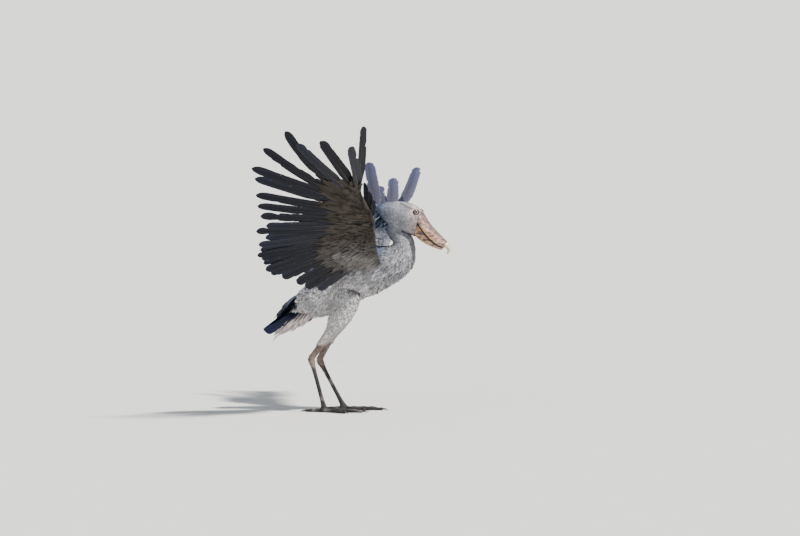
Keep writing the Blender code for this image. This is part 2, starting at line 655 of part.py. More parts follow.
def make_tail():
    root = Vector((TAIL_ROOT[0], 0, TAIL_ROOT[1]))
    tip = Vector((TAIL_TIP[0], 0, TAIL_TIP[1]))
    ahead = (tip - root).normalized()
    up = Vector((-ahead.z, 0, ahead.x))
    up = up if up.z > 0 else -up
    rows = [body_rings(TORSO, 20)[0]]
    start = rows[0]
    middle = sum(start, Vector()) / len(start)
    for t, wide, high in ((0.16, 0.036, 0.026), (0.34, 0.026, 0.012)):
        rows.append(ring(middle + ahead * (tip - root).length * t, Vector((0, 1, 0)), up, wide, high, 20))
    rows.reverse()
    tail = loft("tail", with_end_gaps(rows, last=True), plumage)
    feathers = []
    for k in range(RECTRICES):
        spread = (k / (RECTRICES - 1) - 0.5) * 2
        turn = math.radians(TAIL_SPREAD_DEG) * spread
        direction = (ahead * math.cos(turn) + Vector((0, math.sin(turn), 0))).normalized()
        level = -abs(spread) * 0.010 - 0.0032 * (k % 2)
        start = middle + ahead * 0.012 + up * level + Vector((0, spread * 0.018, 0))
        length = (tip - root).length * (1.04 - 0.10 * abs(spread))
        feathers.append(vane(start, start + direction * length, up, 0.034, quill, lift=-0.02, thick=0.0022))
    for back, drop, out, length, many in UNDERTAIL:
        for k in range(many):
            spread = 2 * k / (many - 1) - 1
            start = middle + ahead * back - up * drop + Vector((0, spread * out * 0.55, abs(spread) * 0.006))
            turn = math.radians(UNDERTAIL_FALL_DEG)
            direction = (ahead * math.cos(turn) - up * math.sin(turn) + Vector((0, spread * 0.16, 0))).normalized()
            long = length * random.uniform(0.93, 1.05) * (1 - 0.12 * abs(spread))
            feathers.append(vane(start, start + direction * long, up, 0.030, plumage, lift=-0.05, thick=0.0026,
                                 profile=SHORT_VANE))
    for k in range(UPPERTAIL_COUNT):
        spread = 2 * k / (UPPERTAIL_COUNT - 1) - 1
        start = middle + ahead * 0.006 + up * 0.018 + Vector((0, spread * 0.022, 0))
        direction = (ahead - up * 0.06 + Vector((0, spread * 0.14, 0))).normalized()
        feathers.append(vane(start, start + direction * UPPERTAIL_LENGTH, up, 0.030, plumage, lift=0.05,
                             profile=SHORT_VANE))
    combine(tail, feathers, "UNION")


def main():
    random.seed(SEED)
    torso = body_core("torso", TORSO, 20, plumage)
    rings = body_rings(TORSO, 20)
    torso.data = loft("torso_shape", with_end_gaps(rings, first=True, last=True), plumage).data
    bpy.data.objects.remove(bpy.data.objects["torso_shape"])
    head = make_head()
    neck_rings = body_rings((TORSO[-1],) + NECK, 20)
    neck = loft("neck", with_end_gaps(neck_rings, first=True), plumage)
    cut_clear(neck, [body_core("grown", HEAD, 20, plumage, HEAD_SQUARE, 2, GAP)])
    make_tail()
    for sign, label in ((RIGHT, "right"), (LEFT, "left")):
        make_leg(sign, label, body_core("grown", TORSO, 20, plumage, grow=GAP))
    make_wing(RIGHT, "right", ARM_RIGHT, FAN_RIGHT, OUT_RIGHT, CURL_RIGHT, SWEEP_RIGHT, SECONDARY_FAN_RIGHT,
              body_core("grown", TORSO, 20, plumage, grow=GAP))
    make_wing(LEFT, "left", ARM_LEFT, FAN_LEFT, OUT_LEFT, CURL_LEFT, SWEEP_LEFT, SECONDARY_FAN_LEFT,
              body_core("grown", TORSO, 20, plumage, grow=GAP))
    centre_on_footprint()


def centre_on_footprint():
    """Moves every piece so that the box of the whole stands centred on the origin."""
    points = [v.co for obj in model.objects for v in obj.data.vertices]
    low = [min(p[k] for p in points) for k in range(3)]
    high = [max(p[k] for p in points) for k in range(3)]
    offset = Vector((-(low[0] + high[0]) / 2, -(low[1] + high[1]) / 2, -low[2]))
    for obj in model.objects:
        for vert in obj.data.vertices:
            vert.co += offset
    print("offset", [round(v, 5) for v in offset], "size", [round(h - l, 4) for l, h in zip(low, high)])
    for obj in sorted(model.objects, key=lambda o: o.name):
        obj.data.calc_loop_triangles()
        print(obj.name, len(obj.data.loop_triangles))


for old in list(bpy.data.objects):
    bpy.data.objects.remove(old)
model = bpy.data.collections.new("shoebill")
cutters = bpy.data.collections.new("pieces to join")
bpy.context.scene.collection.children.link(model)
bpy.context.scene.collection.children.link(cutters)
plumage = material("plumage", (0.42, 0.43, 0.46), 0.85)
quill = material("flight_feather", (0.06, 0.065, 0.08), 0.6)
horn = material("bill_horn", (0.62, 0.50, 0.38), 0.45)
horn_pale = material("hook_horn", (0.75, 0.68, 0.52), 0.4)
horn_dark = material("claw_horn", (0.08, 0.075, 0.07), 0.4)
leg_skin = material("leg_skin", (0.12, 0.115, 0.12), 0.6)
eye = material("eye", (0.55, 0.55, 0.42), 0.1)
main()
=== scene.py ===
import math

import bmesh
import bpy
import numpy as np
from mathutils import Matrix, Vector
from mathutils.bvhtree import BVHTree


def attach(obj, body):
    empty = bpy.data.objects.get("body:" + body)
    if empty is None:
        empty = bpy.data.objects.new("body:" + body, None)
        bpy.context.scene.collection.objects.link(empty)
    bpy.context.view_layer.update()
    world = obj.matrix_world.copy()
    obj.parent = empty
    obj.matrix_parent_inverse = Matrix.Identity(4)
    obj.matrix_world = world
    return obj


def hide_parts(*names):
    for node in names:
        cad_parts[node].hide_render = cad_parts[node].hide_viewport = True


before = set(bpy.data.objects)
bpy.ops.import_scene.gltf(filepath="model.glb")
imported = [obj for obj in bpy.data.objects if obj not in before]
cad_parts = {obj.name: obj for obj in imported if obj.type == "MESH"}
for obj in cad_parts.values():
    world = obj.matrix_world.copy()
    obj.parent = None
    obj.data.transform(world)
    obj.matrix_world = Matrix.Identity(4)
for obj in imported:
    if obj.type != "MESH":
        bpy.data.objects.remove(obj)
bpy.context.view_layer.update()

# Studio
# The model stands on a plain pale floor under a strong lamp that is high in front of the bird, with
# a weak and broad one for fill. The camera is far off with a long lens, at knee height.
MIDDLE = Vector((-0.10003, -0.00349, 0.0))
METRES_A_PIXEL = 0.00445
CAMERA_AZIMUTH, CAMERA_ELEVATION, CAMERA_DISTANCE = math.radians(14), math.radians(3), 40.0

back = Vector((math.sin(CAMERA_AZIMUTH) * math.cos(CAMERA_ELEVATION),
               -math.cos(CAMERA_AZIMUTH) * math.cos(CAMERA_ELEVATION), math.sin(CAMERA_ELEVATION)))
right = Vector((math.cos(CAMERA_AZIMUTH), math.sin(CAMERA_AZIMUTH), 0))
aim_at = MIDDLE + right * 65.5 * METRES_A_PIXEL + back.cross(right) * 143 * METRES_A_PIXEL
camera = bpy.data.objects.new("camera", bpy.data.cameras.new("camera"))
bpy.context.scene.collection.objects.link(camera)
camera.location = aim_at + back * CAMERA_DISTANCE
camera.rotation_euler = back.to_track_quat("Z", "Y").to_euler()
camera.data.sensor_width = 36
camera.data.lens = 36 * CAMERA_DISTANCE / (800 * METRES_A_PIXEL)
camera.data.clip_end = 3000
bpy.context.scene.camera = camera


def lamp(name, place, spread, strength, color):
    """A broad far lamp that points at the middle of the model."""
    light = bpy.data.lights.new(name, "SUN")
    light.angle, light.energy, light.color = spread, strength, color
    made = bpy.data.objects.new(name, light)
    bpy.context.scene.collection.objects.link(made)
    made.location = place
    made.rotation_euler = (Vector(place) - Vector((0, 0, 0.7))).to_track_quat("Z", "Y").to_euler()


lamp("key_lamp", (3.3, -1.15, 5.4), math.radians(6), 5.2, (1.0, 0.97, 0.93))
lamp("fill_lamp", (-2.0, -5.0, 2.2), math.radians(60), 0.45, (0.84, 0.91, 1.0))

world = bpy.data.worlds.new("studio")
bpy.context.scene.world = world
world.use_nodes = True
world.node_tree.nodes["Background"].inputs["Color"].default_value = (0.80, 0.84, 0.90, 1)
world.node_tree.nodes["Background"].inputs["Strength"].default_value = 0.50
bpy.context.scene.view_settings.look = "AgX - Medium High Contrast"


class Finish:
    """A material with short calls for adding and joining its nodes."""

    def __init__(self, name, roughness=0.6, sheen=0.0, coat=0.0):
        self.material = bpy.data.materials.new(name)
        self.material.use_nodes = True
        self.tree = self.material.node_tree
        self.shader = self.tree.nodes["Principled BSDF"]
        self.shader.inputs["Roughness"].default_value = roughness
        self.shader.inputs["Sheen Weight"].default_value = sheen
        self.shader.inputs["Coat Weight"].default_value = coat

    def add(self, kind, settings=(), **inputs):
        node = self.tree.nodes.new("ShaderNode" + kind)
        for key, value in dict(settings).items():
            setattr(node, key, value)
        for key, value in inputs.items():
            self.set(node.inputs[key.replace("_", " ")], value)
        return node

    def set(self, socket, value):
        if isinstance(value, bpy.types.NodeSocket):
            self.tree.links.new(value, socket)
        else:
            socket.default_value = value

    def read(self, name, output="Fac"):
        return self.add("Attribute", {"attribute_name": name}).outputs[output]

    def sum(self, kind, a, b, c=0.0):
        node = self.add("Math", {"operation": kind})
        for socket, value in zip(node.inputs, (a, b, c)):
            self.set(socket, value)
        return node.outputs[0]

    def blend(self, share, a, b, kind="MIX"):
        node = self.add("Mix", {"data_type": "RGBA", "blend_type": kind})
        for socket, value in zip((node.inputs[0], node.inputs[6], node.inputs[7]), (share, a, b)):
            self.set(socket, value)
        return node.outputs[2]

    def noise(self, scale, detail=3.0, where=None, rough=0.5):
        node = self.add("TexNoise", Scale=scale, Detail=detail, Roughness=rough)
        self.tree.links.new(where or self.place(), node.inputs["Vector"])
        return node.outputs["Fac"]

    def place(self):
        return self.add("TexCoord").outputs["Object"]

    def ramp(self, value, *stops):
        node = self.add("ValToRGB")
        self.set(node.inputs[0], value)
        while len(node.color_ramp.elements) < len(stops):
            node.color_ramp.elements.new(0.5)
        for element, (spot, color) in zip(node.color_ramp.elements, stops):
            element.position = spot
            element.color = (*color, 1) if isinstance(color, tuple) else (color, color, color, 1)
        return node.outputs[0]

    def bump(self, height, strength, distance):
        node = self.add("Bump", Height=height)
        node.inputs["Strength"].default_value = strength
        node.inputs["Distance"].default_value = distance
        self.set(self.shader.inputs["Normal"], node.outputs[0])

    def color(self, value):
        self.set(self.shader.inputs["Base Color"], value)

    def barbs(self, slant, fine, across):
        """A place that runs along a feather's barbs, and its shares from the root, to the edge and its tone."""
        far, wide, tone = self.read("along"), self.read("across"), self.read("tone")
        edge = self.sum("ABSOLUTE", wide, 0)
        place = self.add("CombineXYZ", X=self.sum("MULTIPLY_ADD", edge, slant, self.sum("MULTIPLY", far, fine)),
                         Y=self.sum("MULTIPLY", wide, across), Z=self.sum("MULTIPLY", tone, 40)).outputs[0]
        return place, far, edge, tone

    def shaded_tint(self, shade):
        """The colour that is kept on the points, times a shade."""
        grey = self.add("CombineXYZ", X=shade, Y=shade, Z=shade).outputs[0]
        return self.blend(1.0, self.read("tint", "Color"), grey, "MULTIPLY")


floor_finish = Finish("pale_floor", 0.7)
grain = floor_finish.noise(9.0, 4.0)
floor_finish.color(floor_finish.ramp(grain, (0.3, (0.70, 0.70, 0.68)), (0.7, (0.74, 0.74, 0.72))))
bpy.ops.mesh.primitive_plane_add(size=900)
floor = bpy.context.object
floor.name = "floor"
floor.data.materials.append(floor_finish.material)

# Skin
# The skin of the whole bird in one piece: flesh that is lofted ring by ring for the body, neck, head,
# arms and legs, then run together into one closed surface. The bare legs are scaly and dark.
TORSO = ((-0.160, 0.463, 0.050, 0.044, 30), (-0.095, 0.487, 0.078, 0.070, 30), (-0.015, 0.530, 0.095, 0.090, 31),
         (0.080, 0.585, 0.097, 0.101, 31), (0.165, 0.628, 0.105, 0.104, 33), (0.242, 0.662, 0.094, 0.096, 42),
         (0.288, 0.690, 0.082, 0.080, 58))
NECK = ((0.312, 0.728, 0.0585, 0.058, 80), (0.312, 0.768, 0.045, 0.047, 112), (0.285, 0.800, 0.041, 0.042, 138),
        (0.262, 0.838, 0.041, 0.040, 125))
HEAD = ((0.201, 0.896, 0.020, 0.021, 30), (0.222, 0.882, 0.042, 0.039, 20), (0.262, 0.874, 0.060, 0.050, 8),
        (0.308, 0.872, 0.0645, 0.055, -2), (0.352, 0.860, 0.0665, 0.054, -10),
        (0.3875, 0.8393, 0.0577, 0.050, -15.2))
THIGH = ((0.078, 0.058, 0.540, 0.064, 0.042), (0.060, 0.070, 0.465, 0.056, 0.043),
         (0.030, 0.077, 0.400, 0.041, 0.034), (0.004, 0.081, 0.356, 0.0275, 0.025))
# Far thigh: how far back and how far down it stands
THIGH_SHIFT = {-1: (0.0, 0.0), 1: (-0.034, -0.012)}
HEEL = {-1: (-0.0860, -0.084, 0.238), 1: (-0.0890, 0.076, 0.222)}
FOOT = {-1: (-0.024, -0.087, 0.016), 1: (0.022, 0.080, 0.016)}
TOES = (("middle", 3, 0.178), ("inner", -32, 0.138), ("outer", 36, 0.145), ("hind", 176, 0.085))
ARM = {-1: ((0.236, 0.090, 0.668), (0.1246, 0.270, 0.764), (0.283, 0.446, 0.8685), (0.2574, 0.600, 1.0186)),
       1: ((0.215, 0.090, 0.672), (0.090, 0.270, 0.745), (0.185, 0.440, 0.856), (0.152, 0.600, 0.882))}
SKIN_VOXEL = 0.0028
COAT_DEPTH = {"torso": 0.006, "neck": 0.004, "head": 0.0022, "thigh": 0.0045}
EYE_X, EYE_Z = 0.3835, 0.8920
ACROSS, UP = Vector((0, 1, 0)), Vector((0, 0, 1))


def along(values, t):
    """Value at t, 0 to 1, of a list of rows read as a smooth curve."""
    rows = np.asarray(values, float)
    spot = min(max(t, 0.0), 1.0) * (len(rows) - 1)
    i = min(int(spot), len(rows) - 2)
    u = spot - i
    a, b, c, d = (rows[min(max(i + k, 0), len(rows) - 1)] for k in (-1, 0, 1, 2))
    return 0.5 * (2 * b + (c - a) * u + (2 * a - 5 * b + 4 * c - d) * u ** 2 + (3 * b - a - 3 * c + d) * u ** 3)


def part_of(value, reach):
    """Value as a share of a reach, held between 0 and 1."""
    return np.clip(value / reach, 0, 1)


def unit(v):
    """Direction of a vector, or of each row of vectors."""
    return v / np.linalg.norm(v, axis=-1, keepdims=True)


def ring(centre, side, up, half_side, half_up, count, square=2.0):
    """Points of a rounded square ring."""
    angles = 2 * np.pi * np.arange(count) / count
    c, s = np.cos(angles), np.sin(angles)
    c, s = np.sign(c) * np.abs(c) ** (2 / square), np.sign(s) * np.abs(s) ** (2 / square)
    return (np.asarray(centre)[None] + np.outer(c * half_side, side) + np.outer(s * half_up, up))


def body_rings(stations, inset, square=2.0, steps=6, count=36):
    """Rings along the stations of the body, set in by the depth of the coat."""
    rings = []
    total = (len(stations) - 1) * steps
    for k in range(total + 1):
        x, z, half_up, half_side, lean = along(stations, k / total)
        tilt = math.radians(lean)
        up = (-math.sin(tilt), 0, math.cos(tilt))
        rings.append(ring((x, 0, z), ACROSS, up, half_side - inset, half_up - inset, count, square))
    return rings


def path_rings(path, deep, wide, steps=6, count=18):
    """Rings square to a path, deep along it from front to back and wide across."""
    rows = [tuple(p) + (d, w) for p, d, w in zip(path, deep, wide)]
    total = (len(rows) - 1) * steps
    spots = [along(rows, k / total) for k in range(total + 1)]
    rings = []
    for k, v in enumerate(spots):
        ahead = Vector(spots[min(k + 1, total)][:3] - spots[max(k - 1, 0)][:3]).normalized()
        side = (ACROSS - ahead * ahead.y).normalized()
        rings.append(ring(v[:3], side, ahead.cross(side), v[4], v[3], count))
    return rings


class Shape:
    """Points and faces that are gathered into one mesh."""

    def __init__(self):
        self.points, self.faces, self.count = [], [], 0

    def loft(self, rings, tip=None):
        rows, n = np.array(rings), len(rings[0])
        base = self.count
        self.points.append(rows.reshape(-1, 3))
        self.count += rows.shape[0] * n
        for r in range(rows.shape[0] - 1):
            for k in range(n):
                a, b = base + r * n + k, base + r * n + (k + 1) % n
                self.faces.append((a, b, b + n, a + n))
        self.faces.append(tuple(range(base + n - 1, base - 1, -1)))
        last = base + (rows.shape[0] - 1) * n
        if tip is None:
            self.faces.append(tuple(range(last, last + n)))
        else:
            self.points.append(np.array([tip], float))
            self.faces += [(last + k, last + (k + 1) % n, self.count) for k in range(n)]
            self.count += 1

    def mesh(self, name):
        mesh = bpy.data.meshes.new(name)
        mesh.from_pydata(np.concatenate(self.points).tolist(), [], self.faces)
        tidy = bmesh.new()
        tidy.from_mesh(mesh)
        bmesh.ops.recalc_face_normals(tidy, faces=tidy.faces)
        tidy.to_mesh(mesh)
        tidy.free()
        mesh.shade_smooth()
        return mesh


def link(name, mesh):
    """A new object in the scene."""
    made = bpy.data.objects.new(name, mesh)
    bpy.context.scene.collection.objects.link(made)
    return made


def settled(obj, kind, **settings):
    """Applies one modifier to an object's mesh."""
    change = obj.modifiers.new(kind, kind)
    for key, value in settings.items():
        setattr(change, key, value)
    bpy.context.view_layer.update()
    mesh = bpy.data.meshes.new_from_object(obj.evaluated_get(bpy.context.evaluated_depsgraph_get()))
    obj.modifiers.remove(change)
    obj.data = mesh


def thigh_path(sign):
    """Middle of one thigh from hip to knee."""
    shift, drop = THIGH_SHIFT[sign]
    return [(x + shift, y * sign, z + drop * (0.56 - z) / 0.2) for x, y, z, deep, wide in THIGH]


def arm_joints(sign):
    """Shoulder, elbow, wrist and finger of one side."""
    return [np.array((x, y * sign, z)) for x, y, z in ARM[sign]]


def arm_edges(sign):
    """Front and rear edge of the arm from shoulder to wrist, with its thickness."""
    shoulder, elbow, wrist, finger = arm_joints(sign)
    back_way = np.array((-1.0, 0.0, 0.02 if sign < 0 else -0.18))
    lead = [shoulder + (0.004, 0, 0), shoulder * 0.70 + wrist * 0.30 + (-0.006, 0, 0.003),
            shoulder * 0.35 + wrist * 0.65 + (0.002, 0, 0.002), wrist - back_way * 0.012]
    trail = [shoulder + (-0.130, 0, 0.004), shoulder + (elbow - shoulder) * 0.62 + (-0.052, 0, 0),
             elbow * 0.65 + wrist * 0.35 + (-0.030, 0, 0), wrist + back_way * 0.030]
    return lead, trail, (0.032, 0.027, 0.023, 0.018)


flesh = Shape()
flesh.loft(body_rings(TORSO, COAT_DEPTH["torso"]))
flesh.loft(body_rings(TORSO[-2:] + NECK, COAT_DEPTH["neck"]))
flesh.loft(body_rings(HEAD, COAT_DEPTH["head"], 2.5, 8, 44))
tail_core = [ring((x, 0, z), ACROSS, (-0.585, 0, 0.811), half, high, 24)
             for x, z, half, high in ((-0.130, 0.482, 0.044, 0.040), (-0.185, 0.446, 0.031, 0.021),
                                      (-0.215, 0.425, 0.022, 0.010))]
flesh.loft(tail_core)
for sign in (-1, 1):
    path = thigh_path(sign)
    knee, heel, foot = np.array(path[-1]), np.array(HEEL[sign]), np.array(FOOT[sign])
    shank = [tuple(knee + (heel - knee) * t) for t in (0.42, 0.80)]
    deep = [s[3] - COAT_DEPTH["thigh"] for s in THIGH] + [0.0172, 0.0140, 0.0156]
    wide = [s[4] - COAT_DEPTH["thigh"] for s in THIGH] + [0.0162, 0.0134, 0.0148]
    flesh.loft(path_rings(path + shank + [tuple(heel)], deep, wide))
    shin = [tuple(heel + (foot - heel) * t) for t in (-0.02, 0.06, 0.14, 0.30, 0.62, 0.88, 1.0)]
    flesh.loft(path_rings(shin, (0.0150, 0.0158, 0.0118, 0.0092, 0.0090, 0.0104, 0.0150),
                          (0.0138, 0.0148, 0.0110, 0.0086, 0.0084, 0.0098, 0.0160)))
    flesh.loft([ring((foot[0], foot[1], z), (0, 1, 0), (1, 0, 0), r, r, 20)
                for z, r in ((0.0008, 0.0195), (0.006, 0.0215), (0.0140, 0.0212), (0.0205, 0.0165))])
    for name, bearing, length in TOES:
        turn = math.radians(bearing) * sign
        ahead, side = np.array((math.cos(turn), math.sin(turn), 0)), np.array((-math.sin(turn), math.cos(turn), 0))
        rows = []
        for k in range(25):
            t = k / 24
            joint = 0.5 + 0.5 * math.cos(2 * math.pi * (t * 3.0 + 0.1))
            high = 0.0082 - 0.0022 * t + 0.0008 * joint
            half = 0.0074 * (1 - 0.18 * t) + 0.0009 * joint
            at = np.array((foot[0], foot[1], high + 0.0004)) + ahead * (0.010 + (length - 0.010) * t)
            rows.append(ring(at, side, UP, half, high, 14, 2.3))
        flesh.loft(rows)
    lead, trail, thick = arm_edges(sign)
    shoulder, elbow, wrist, finger = arm_joints(sign)
    across_arm = np.cross(trail[1] - lead[1], wrist - shoulder)
    across_arm /= np.linalg.norm(across_arm)
    rows = []
    for k in range(17):
        a, b, deep = along(lead, k / 16), along(trail, k / 16), along([(t,) for t in thick], k / 16)[0]
        side = (a - b) / np.linalg.norm(a - b)
        rows.append(ring((a + b) / 2, side, across_arm, np.linalg.norm(a - b) / 2, deep / 2, 20, 2.2))
    flesh.loft(rows)
    rows = []
    for k in range(9):
        t = k / 8
        rows.append(ring(wrist + (finger - wrist) * t, (1, 0, 0), across_arm, 0.020 * (1 - 0.6 * t),
                         0.010 * (1 - 0.55 * t), 14))
    flesh.loft(rows)

# Raised and sunk places of the head: x, y out, z, reach, height
HEAD_RELIEF = ((EYE_X, 0.050, EYE_Z, 0.0145, -0.0060), (0.376, 0.046, 0.9085, 0.012, 0.0030),
               (0.388, 0.040, 0.9075, 0.010, 0.0024), (0.364, 0.050, 0.9120, 0.010, -0.0022),
               (0.350, 0.050, 0.9220, 0.010, -0.0022), (0.334, 0.050, 0.9300, 0.010, -0.0018),
               (0.350, 0.056, 0.8600, 0.030, 0.0022), (0.372, 0.052, 0.8560, 0.010, 0.0020),
               (0.378, 0.050, 0.8660, 0.008, -0.0016), (0.340, 0.040, 0.8020, 0.014, -0.0024),
               (0.318, 0.044, 0.8050, 0.014, -0.0020))


def relief(points, places):
    """How far each point is raised by soft round swellings on both sides of the head."""
    total = np.zeros(len(points))
    for x, y, z, reach, height in places:
        gap = (points[:, 0] - x) ** 2 + (np.abs(points[:, 1]) - y) ** 2 + (points[:, 2] - z) ** 2
        total += height * np.exp(-gap / (reach * reach))
    return total


skin = link("skin", flesh.mesh("skin"))
settled(skin, "REMESH", mode="VOXEL", voxel_size=SKIN_VOXEL, use_smooth_shade=True)
settled(skin, "SMOOTH", factor=0.5, iterations=4)


def mesh_points(mesh, what="co", of="vertices"):
    """Three numbers of every point of a mesh."""
    found = np.empty(len(getattr(mesh, of)) * 3, np.float32)
    getattr(mesh, of).foreach_get(what, found)
    return found.reshape(-1, 3).astype(float)


points = mesh_points(skin.data)
points += mesh_points(skin.data, "normal") * relief(points, HEAD_RELIEF)[:, None]
points[:, 2] = np.maximum(points[:, 2], 0.0002)
skin.data.vertices.foreach_set("co", points.astype(np.float32).ravel())
skin.data.update()
print("skin", len(skin.data.polygons))

# Lie of the plumage
# Feathers lie from the bill to the tail and down each thigh. Every place on the skin takes its lie,
# feather size and grey from the nearest stretches of the spine and thighs.
BODY_GREYS = ((0.50, 0.47, 0.46), (0.46, 0.45, 0.46), (0.44, 0.43, 0.45), (0.46, 0.45, 0.455), (0.44, 0.43, 0.445),
              (0.40, 0.39, 0.41), (0.37, 0.365, 0.39))
NECK_GREYS = ((0.36, 0.36, 0.39), (0.37, 0.37, 0.40), (0.37, 0.375, 0.41))
HEAD_GREYS = ((0.27, 0.29, 0.335), (0.32, 0.335, 0.375), (0.37, 0.375, 0.40), (0.40, 0.40, 0.42))
THIGH_GREYS = ((0.52, 0.50, 0.50), (0.60, 0.58, 0.57), (0.62, 0.60, 0.58), (0.56, 0.53, 0.51))
# Feather length and width along each stretch
BODY_SIZES = ((0.040, 0.020), (0.044, 0.022), (0.048, 0.025), (0.050, 0.027), (0.048, 0.022), (0.040, 0.0125),
              (0.032, 0.0095))
NECK_SIZES = ((0.026, 0.0085), (0.018, 0.0075), (0.014, 0.0065))
HEAD_SIZES = ((0.024, 0.0065), (0.0125, 0.0060), (0.0095, 0.0052), (0.0068, 0.0040))
THIGH_SIZES = ((0.034, 0.018), (0.028, 0.0115), (0.020, 0.0080), (0.013, 0.0052))


def stretch(path, greys, sizes, flow=1):
    """Guide rows along a path from tail to head, or down a leg when flow is -1."""
    rows = []
    for k in range(19):
        t = k / 18
        a, b = along(path, max(t - 0.03, 0)), along(path, min(t + 0.03, 1))
        lie = (a - b) * flow / np.linalg.norm(a - b)
        rows.append(np.concatenate([along(path, t), lie, along(sizes, t), along(greys, t)]))
    return rows


guides = stretch([(s[0], 0, s[1]) for s in TORSO], BODY_GREYS, BODY_SIZES)
guides += stretch([(s[0], 0, s[1]) for s in TORSO[-1:] + NECK], NECK_GREYS, NECK_SIZES)
guides += stretch([(s[0], 0, s[1]) for s in HEAD][::-1], HEAD_GREYS[::-1], HEAD_SIZES[::-1], -1)
for sign in (-1, 1):
    guides += stretch(thigh_path(sign), THIGH_GREYS, THIGH_SIZES, -1)
guides = np.array(guides)


def lie_at(points):
    """Lie, feather length, feather width and grey at each point."""
    gap = ((points[:, None, :] - guides[None, :, :3]) ** 2).sum(2)
    weight = 1 / (gap + 2e-4) ** 3
    return (weight / weight.sum(1)[:, None]) @ guides[:, 3:]


def grey_at(points, up):
    """The bird's greys: slate above, paler below, whitest on the thighs, brown to black down the bare legs, with
    painted shade on the nape, hind neck, eye fold, chin crease, tail root and wings.
    """
    grey = lie_at(points)[:, 5:8]
    x, y, z = points.T
    trunk = part_of(z - 0.36, 0.08) * part_of(0.30 - x, 0.08)
    top = np.clip(up * 1.4 - 0.25, 0, 1) * trunk
    grey = grey * (1 - top[:, None] * np.array((0.42, 0.36, 0.26)))
    leg = np.where((z < 0.20)[:, None], np.array((0.045, 0.042, 0.045)), np.array((0.30, 0.225, 0.195)))
    leg = leg + (np.array((0.26, 0.20, 0.175)) - leg) * part_of(z[:, None] - 0.15, 0.10) * (z < 0.20)[:, None]
    bare = part_of(0.318 - z, 0.02)[:, None]
    # Bluish nape painted as shade, pink-grey cheeks, pale skin round the eye and painted shade along the fold that
    # runs back from it
    head = (z > 0.775)[:, None]
    nape_shade = part_of(0.276 - x, 0.06)[:, None] * head
    grey = grey * (1 - nape_shade * np.array((0.60, 0.50, 0.36)))
    cheek = part_of(x - 0.335, 0.05)[:, None] * head
    grey = grey * (1 + cheek * np.array((0.14, -0.04, -0.08)))
    side = np.abs(y)
    from_eye = np.sqrt((x - EYE_X) ** 2 + (side - 0.046) ** 2 + (z - EYE_Z) ** 2)[:, None]
    grey = grey + (np.array((0.60, 0.50, 0.49)) - grey) * part_of(0.022 - from_eye, 0.006)
    # Painted shade along the sunken fold behind the brow
    share = np.clip(((x - 0.315) * 0.060 - (z - 0.930) * 0.030) / 0.0045, 0, 1)
    fold_shade = np.hypot(x - (0.315 + 0.060 * share), z - (0.930 - 0.030 * share))
    grey = grey * (1 - 0.55 * np.clip(1.15 - fold_shade / 0.0046, 0, 1) * (side > 0.012))[:, None]
    # Painted shadow in the crease where the chin lies on the throat
    share = np.clip(((x - 0.312) * 0.066 - (z - 0.814) * 0.028) / 0.00514, 0, 1)
    chin_shadow = np.hypot(x - (0.312 + 0.066 * share), z - (0.814 - 0.028 * share))
    grey = grey * (1 - 0.75 * np.clip(1.2 - chin_shadow / 0.006, 0, 1) * (side > 0.018))[:, None]
    wave = np.sin(x * 210 + np.sin(z * 160) * 1.6) * np.sin(z * 260 + np.sin(x * 130 + side * 90) * 1.8)
    wave = wave + 0.6 * np.sin(x * 96 + side * 60 + 2 * np.sin(z * 70)) * np.sin(z * 83 + 1.2)
    grey = grey * (0.96 + np.where(z > 0.775, 0.20, 0.17) * wave)[:, None]
    # Dark slate over the root of the tail, made darker and bluer as painted shade under the wing
    back_by, over = -0.811 * (x + 0.160) - 0.585 * (z - 0.463), -0.585 * (x + 0.160) + 0.811 * (z - 0.463)
    slate = (part_of(back_by + 0.030, 0.014) * part_of(over + 0.004, 0.012) * (z > 0.40))[:, None]
    grey = grey + (np.array((0.035, 0.040, 0.060)) - grey) * slate
    # Bluish shade down the hind neck, and on the wings a dark brown that is painted shade on the near side and
    # slate on the far side
    hind = part_of(0.270 - x, 0.05) * part_of(z - 0.66, 0.06) * (z < 0.80)
    grey = grey * (1 - hind[:, None] * np.array((0.56, 0.46, 0.30)))
    wing = (part_of(side - 0.125, 0.04) * (z > 0.60))[:, None]
    grey = grey + (np.where((y < 0)[:, None], np.array((0.085, 0.074, 0.066)), np.array((0.22, 0.22, 0.26)))
                   - grey) * wing
    return grey * (1 - bare) + leg * bare


def store(mesh, name, values, kind="FLOAT", domain="POINT"):
    """Keeps a number or colour on every point of a mesh for its material to read."""
    made = mesh.attributes.new(name, kind, domain)
    if kind == "FLOAT_COLOR":
        values = np.concatenate([values, np.ones((len(values), 1))], 1)
        made.data.foreach_set("color", values.astype(np.float32).ravel())
    else:
        made.data.foreach_set("value", np.asarray(values, np.float32).ravel())


def unwrap_round(points):
    """Place on an unwrap of the body: round the spine, and along it from the tail to the face."""
    x, y, z = points.T
    spine = np.interp(x, (-0.25, -0.16, 0.08, 0.288, 0.36), (0.43, 0.463, 0.585, 0.72, 0.86))
    u = 0.5 + np.arctan2(y, np.where(z > 0.80, z - 0.87, z - spine)) / (2 * np.pi) * 0.98
    v = part_of(x * 0.55 + z * 0.80 + 0.10, 1.10)
    return np.stack([u * 0.985, v * 0.985], 1)


def bake_map(mesh, places):
    """The map that the finish is baked on, from a place for each corner of the mesh."""
    layer = mesh.uv_layers.new(name="OFBake")
    layer.data.foreach_set("uv", np.clip(places, 0, 1).astype(np.float32).ravel())


skin_points = mesh_points(skin.data)
skin_up = mesh_points(skin.data, "normal")[:, 2]
store(skin.data, "tint", grey_at(skin_points, skin_up) * 0.82, "FLOAT_COLOR")
store(skin.data, "bare", part_of(0.320 - skin_points[:, 2], 0.012))
skin_tree = BVHTree.FromPolygons(skin_points.tolist(), [tuple(p.vertices) for p in skin.data.polygons])

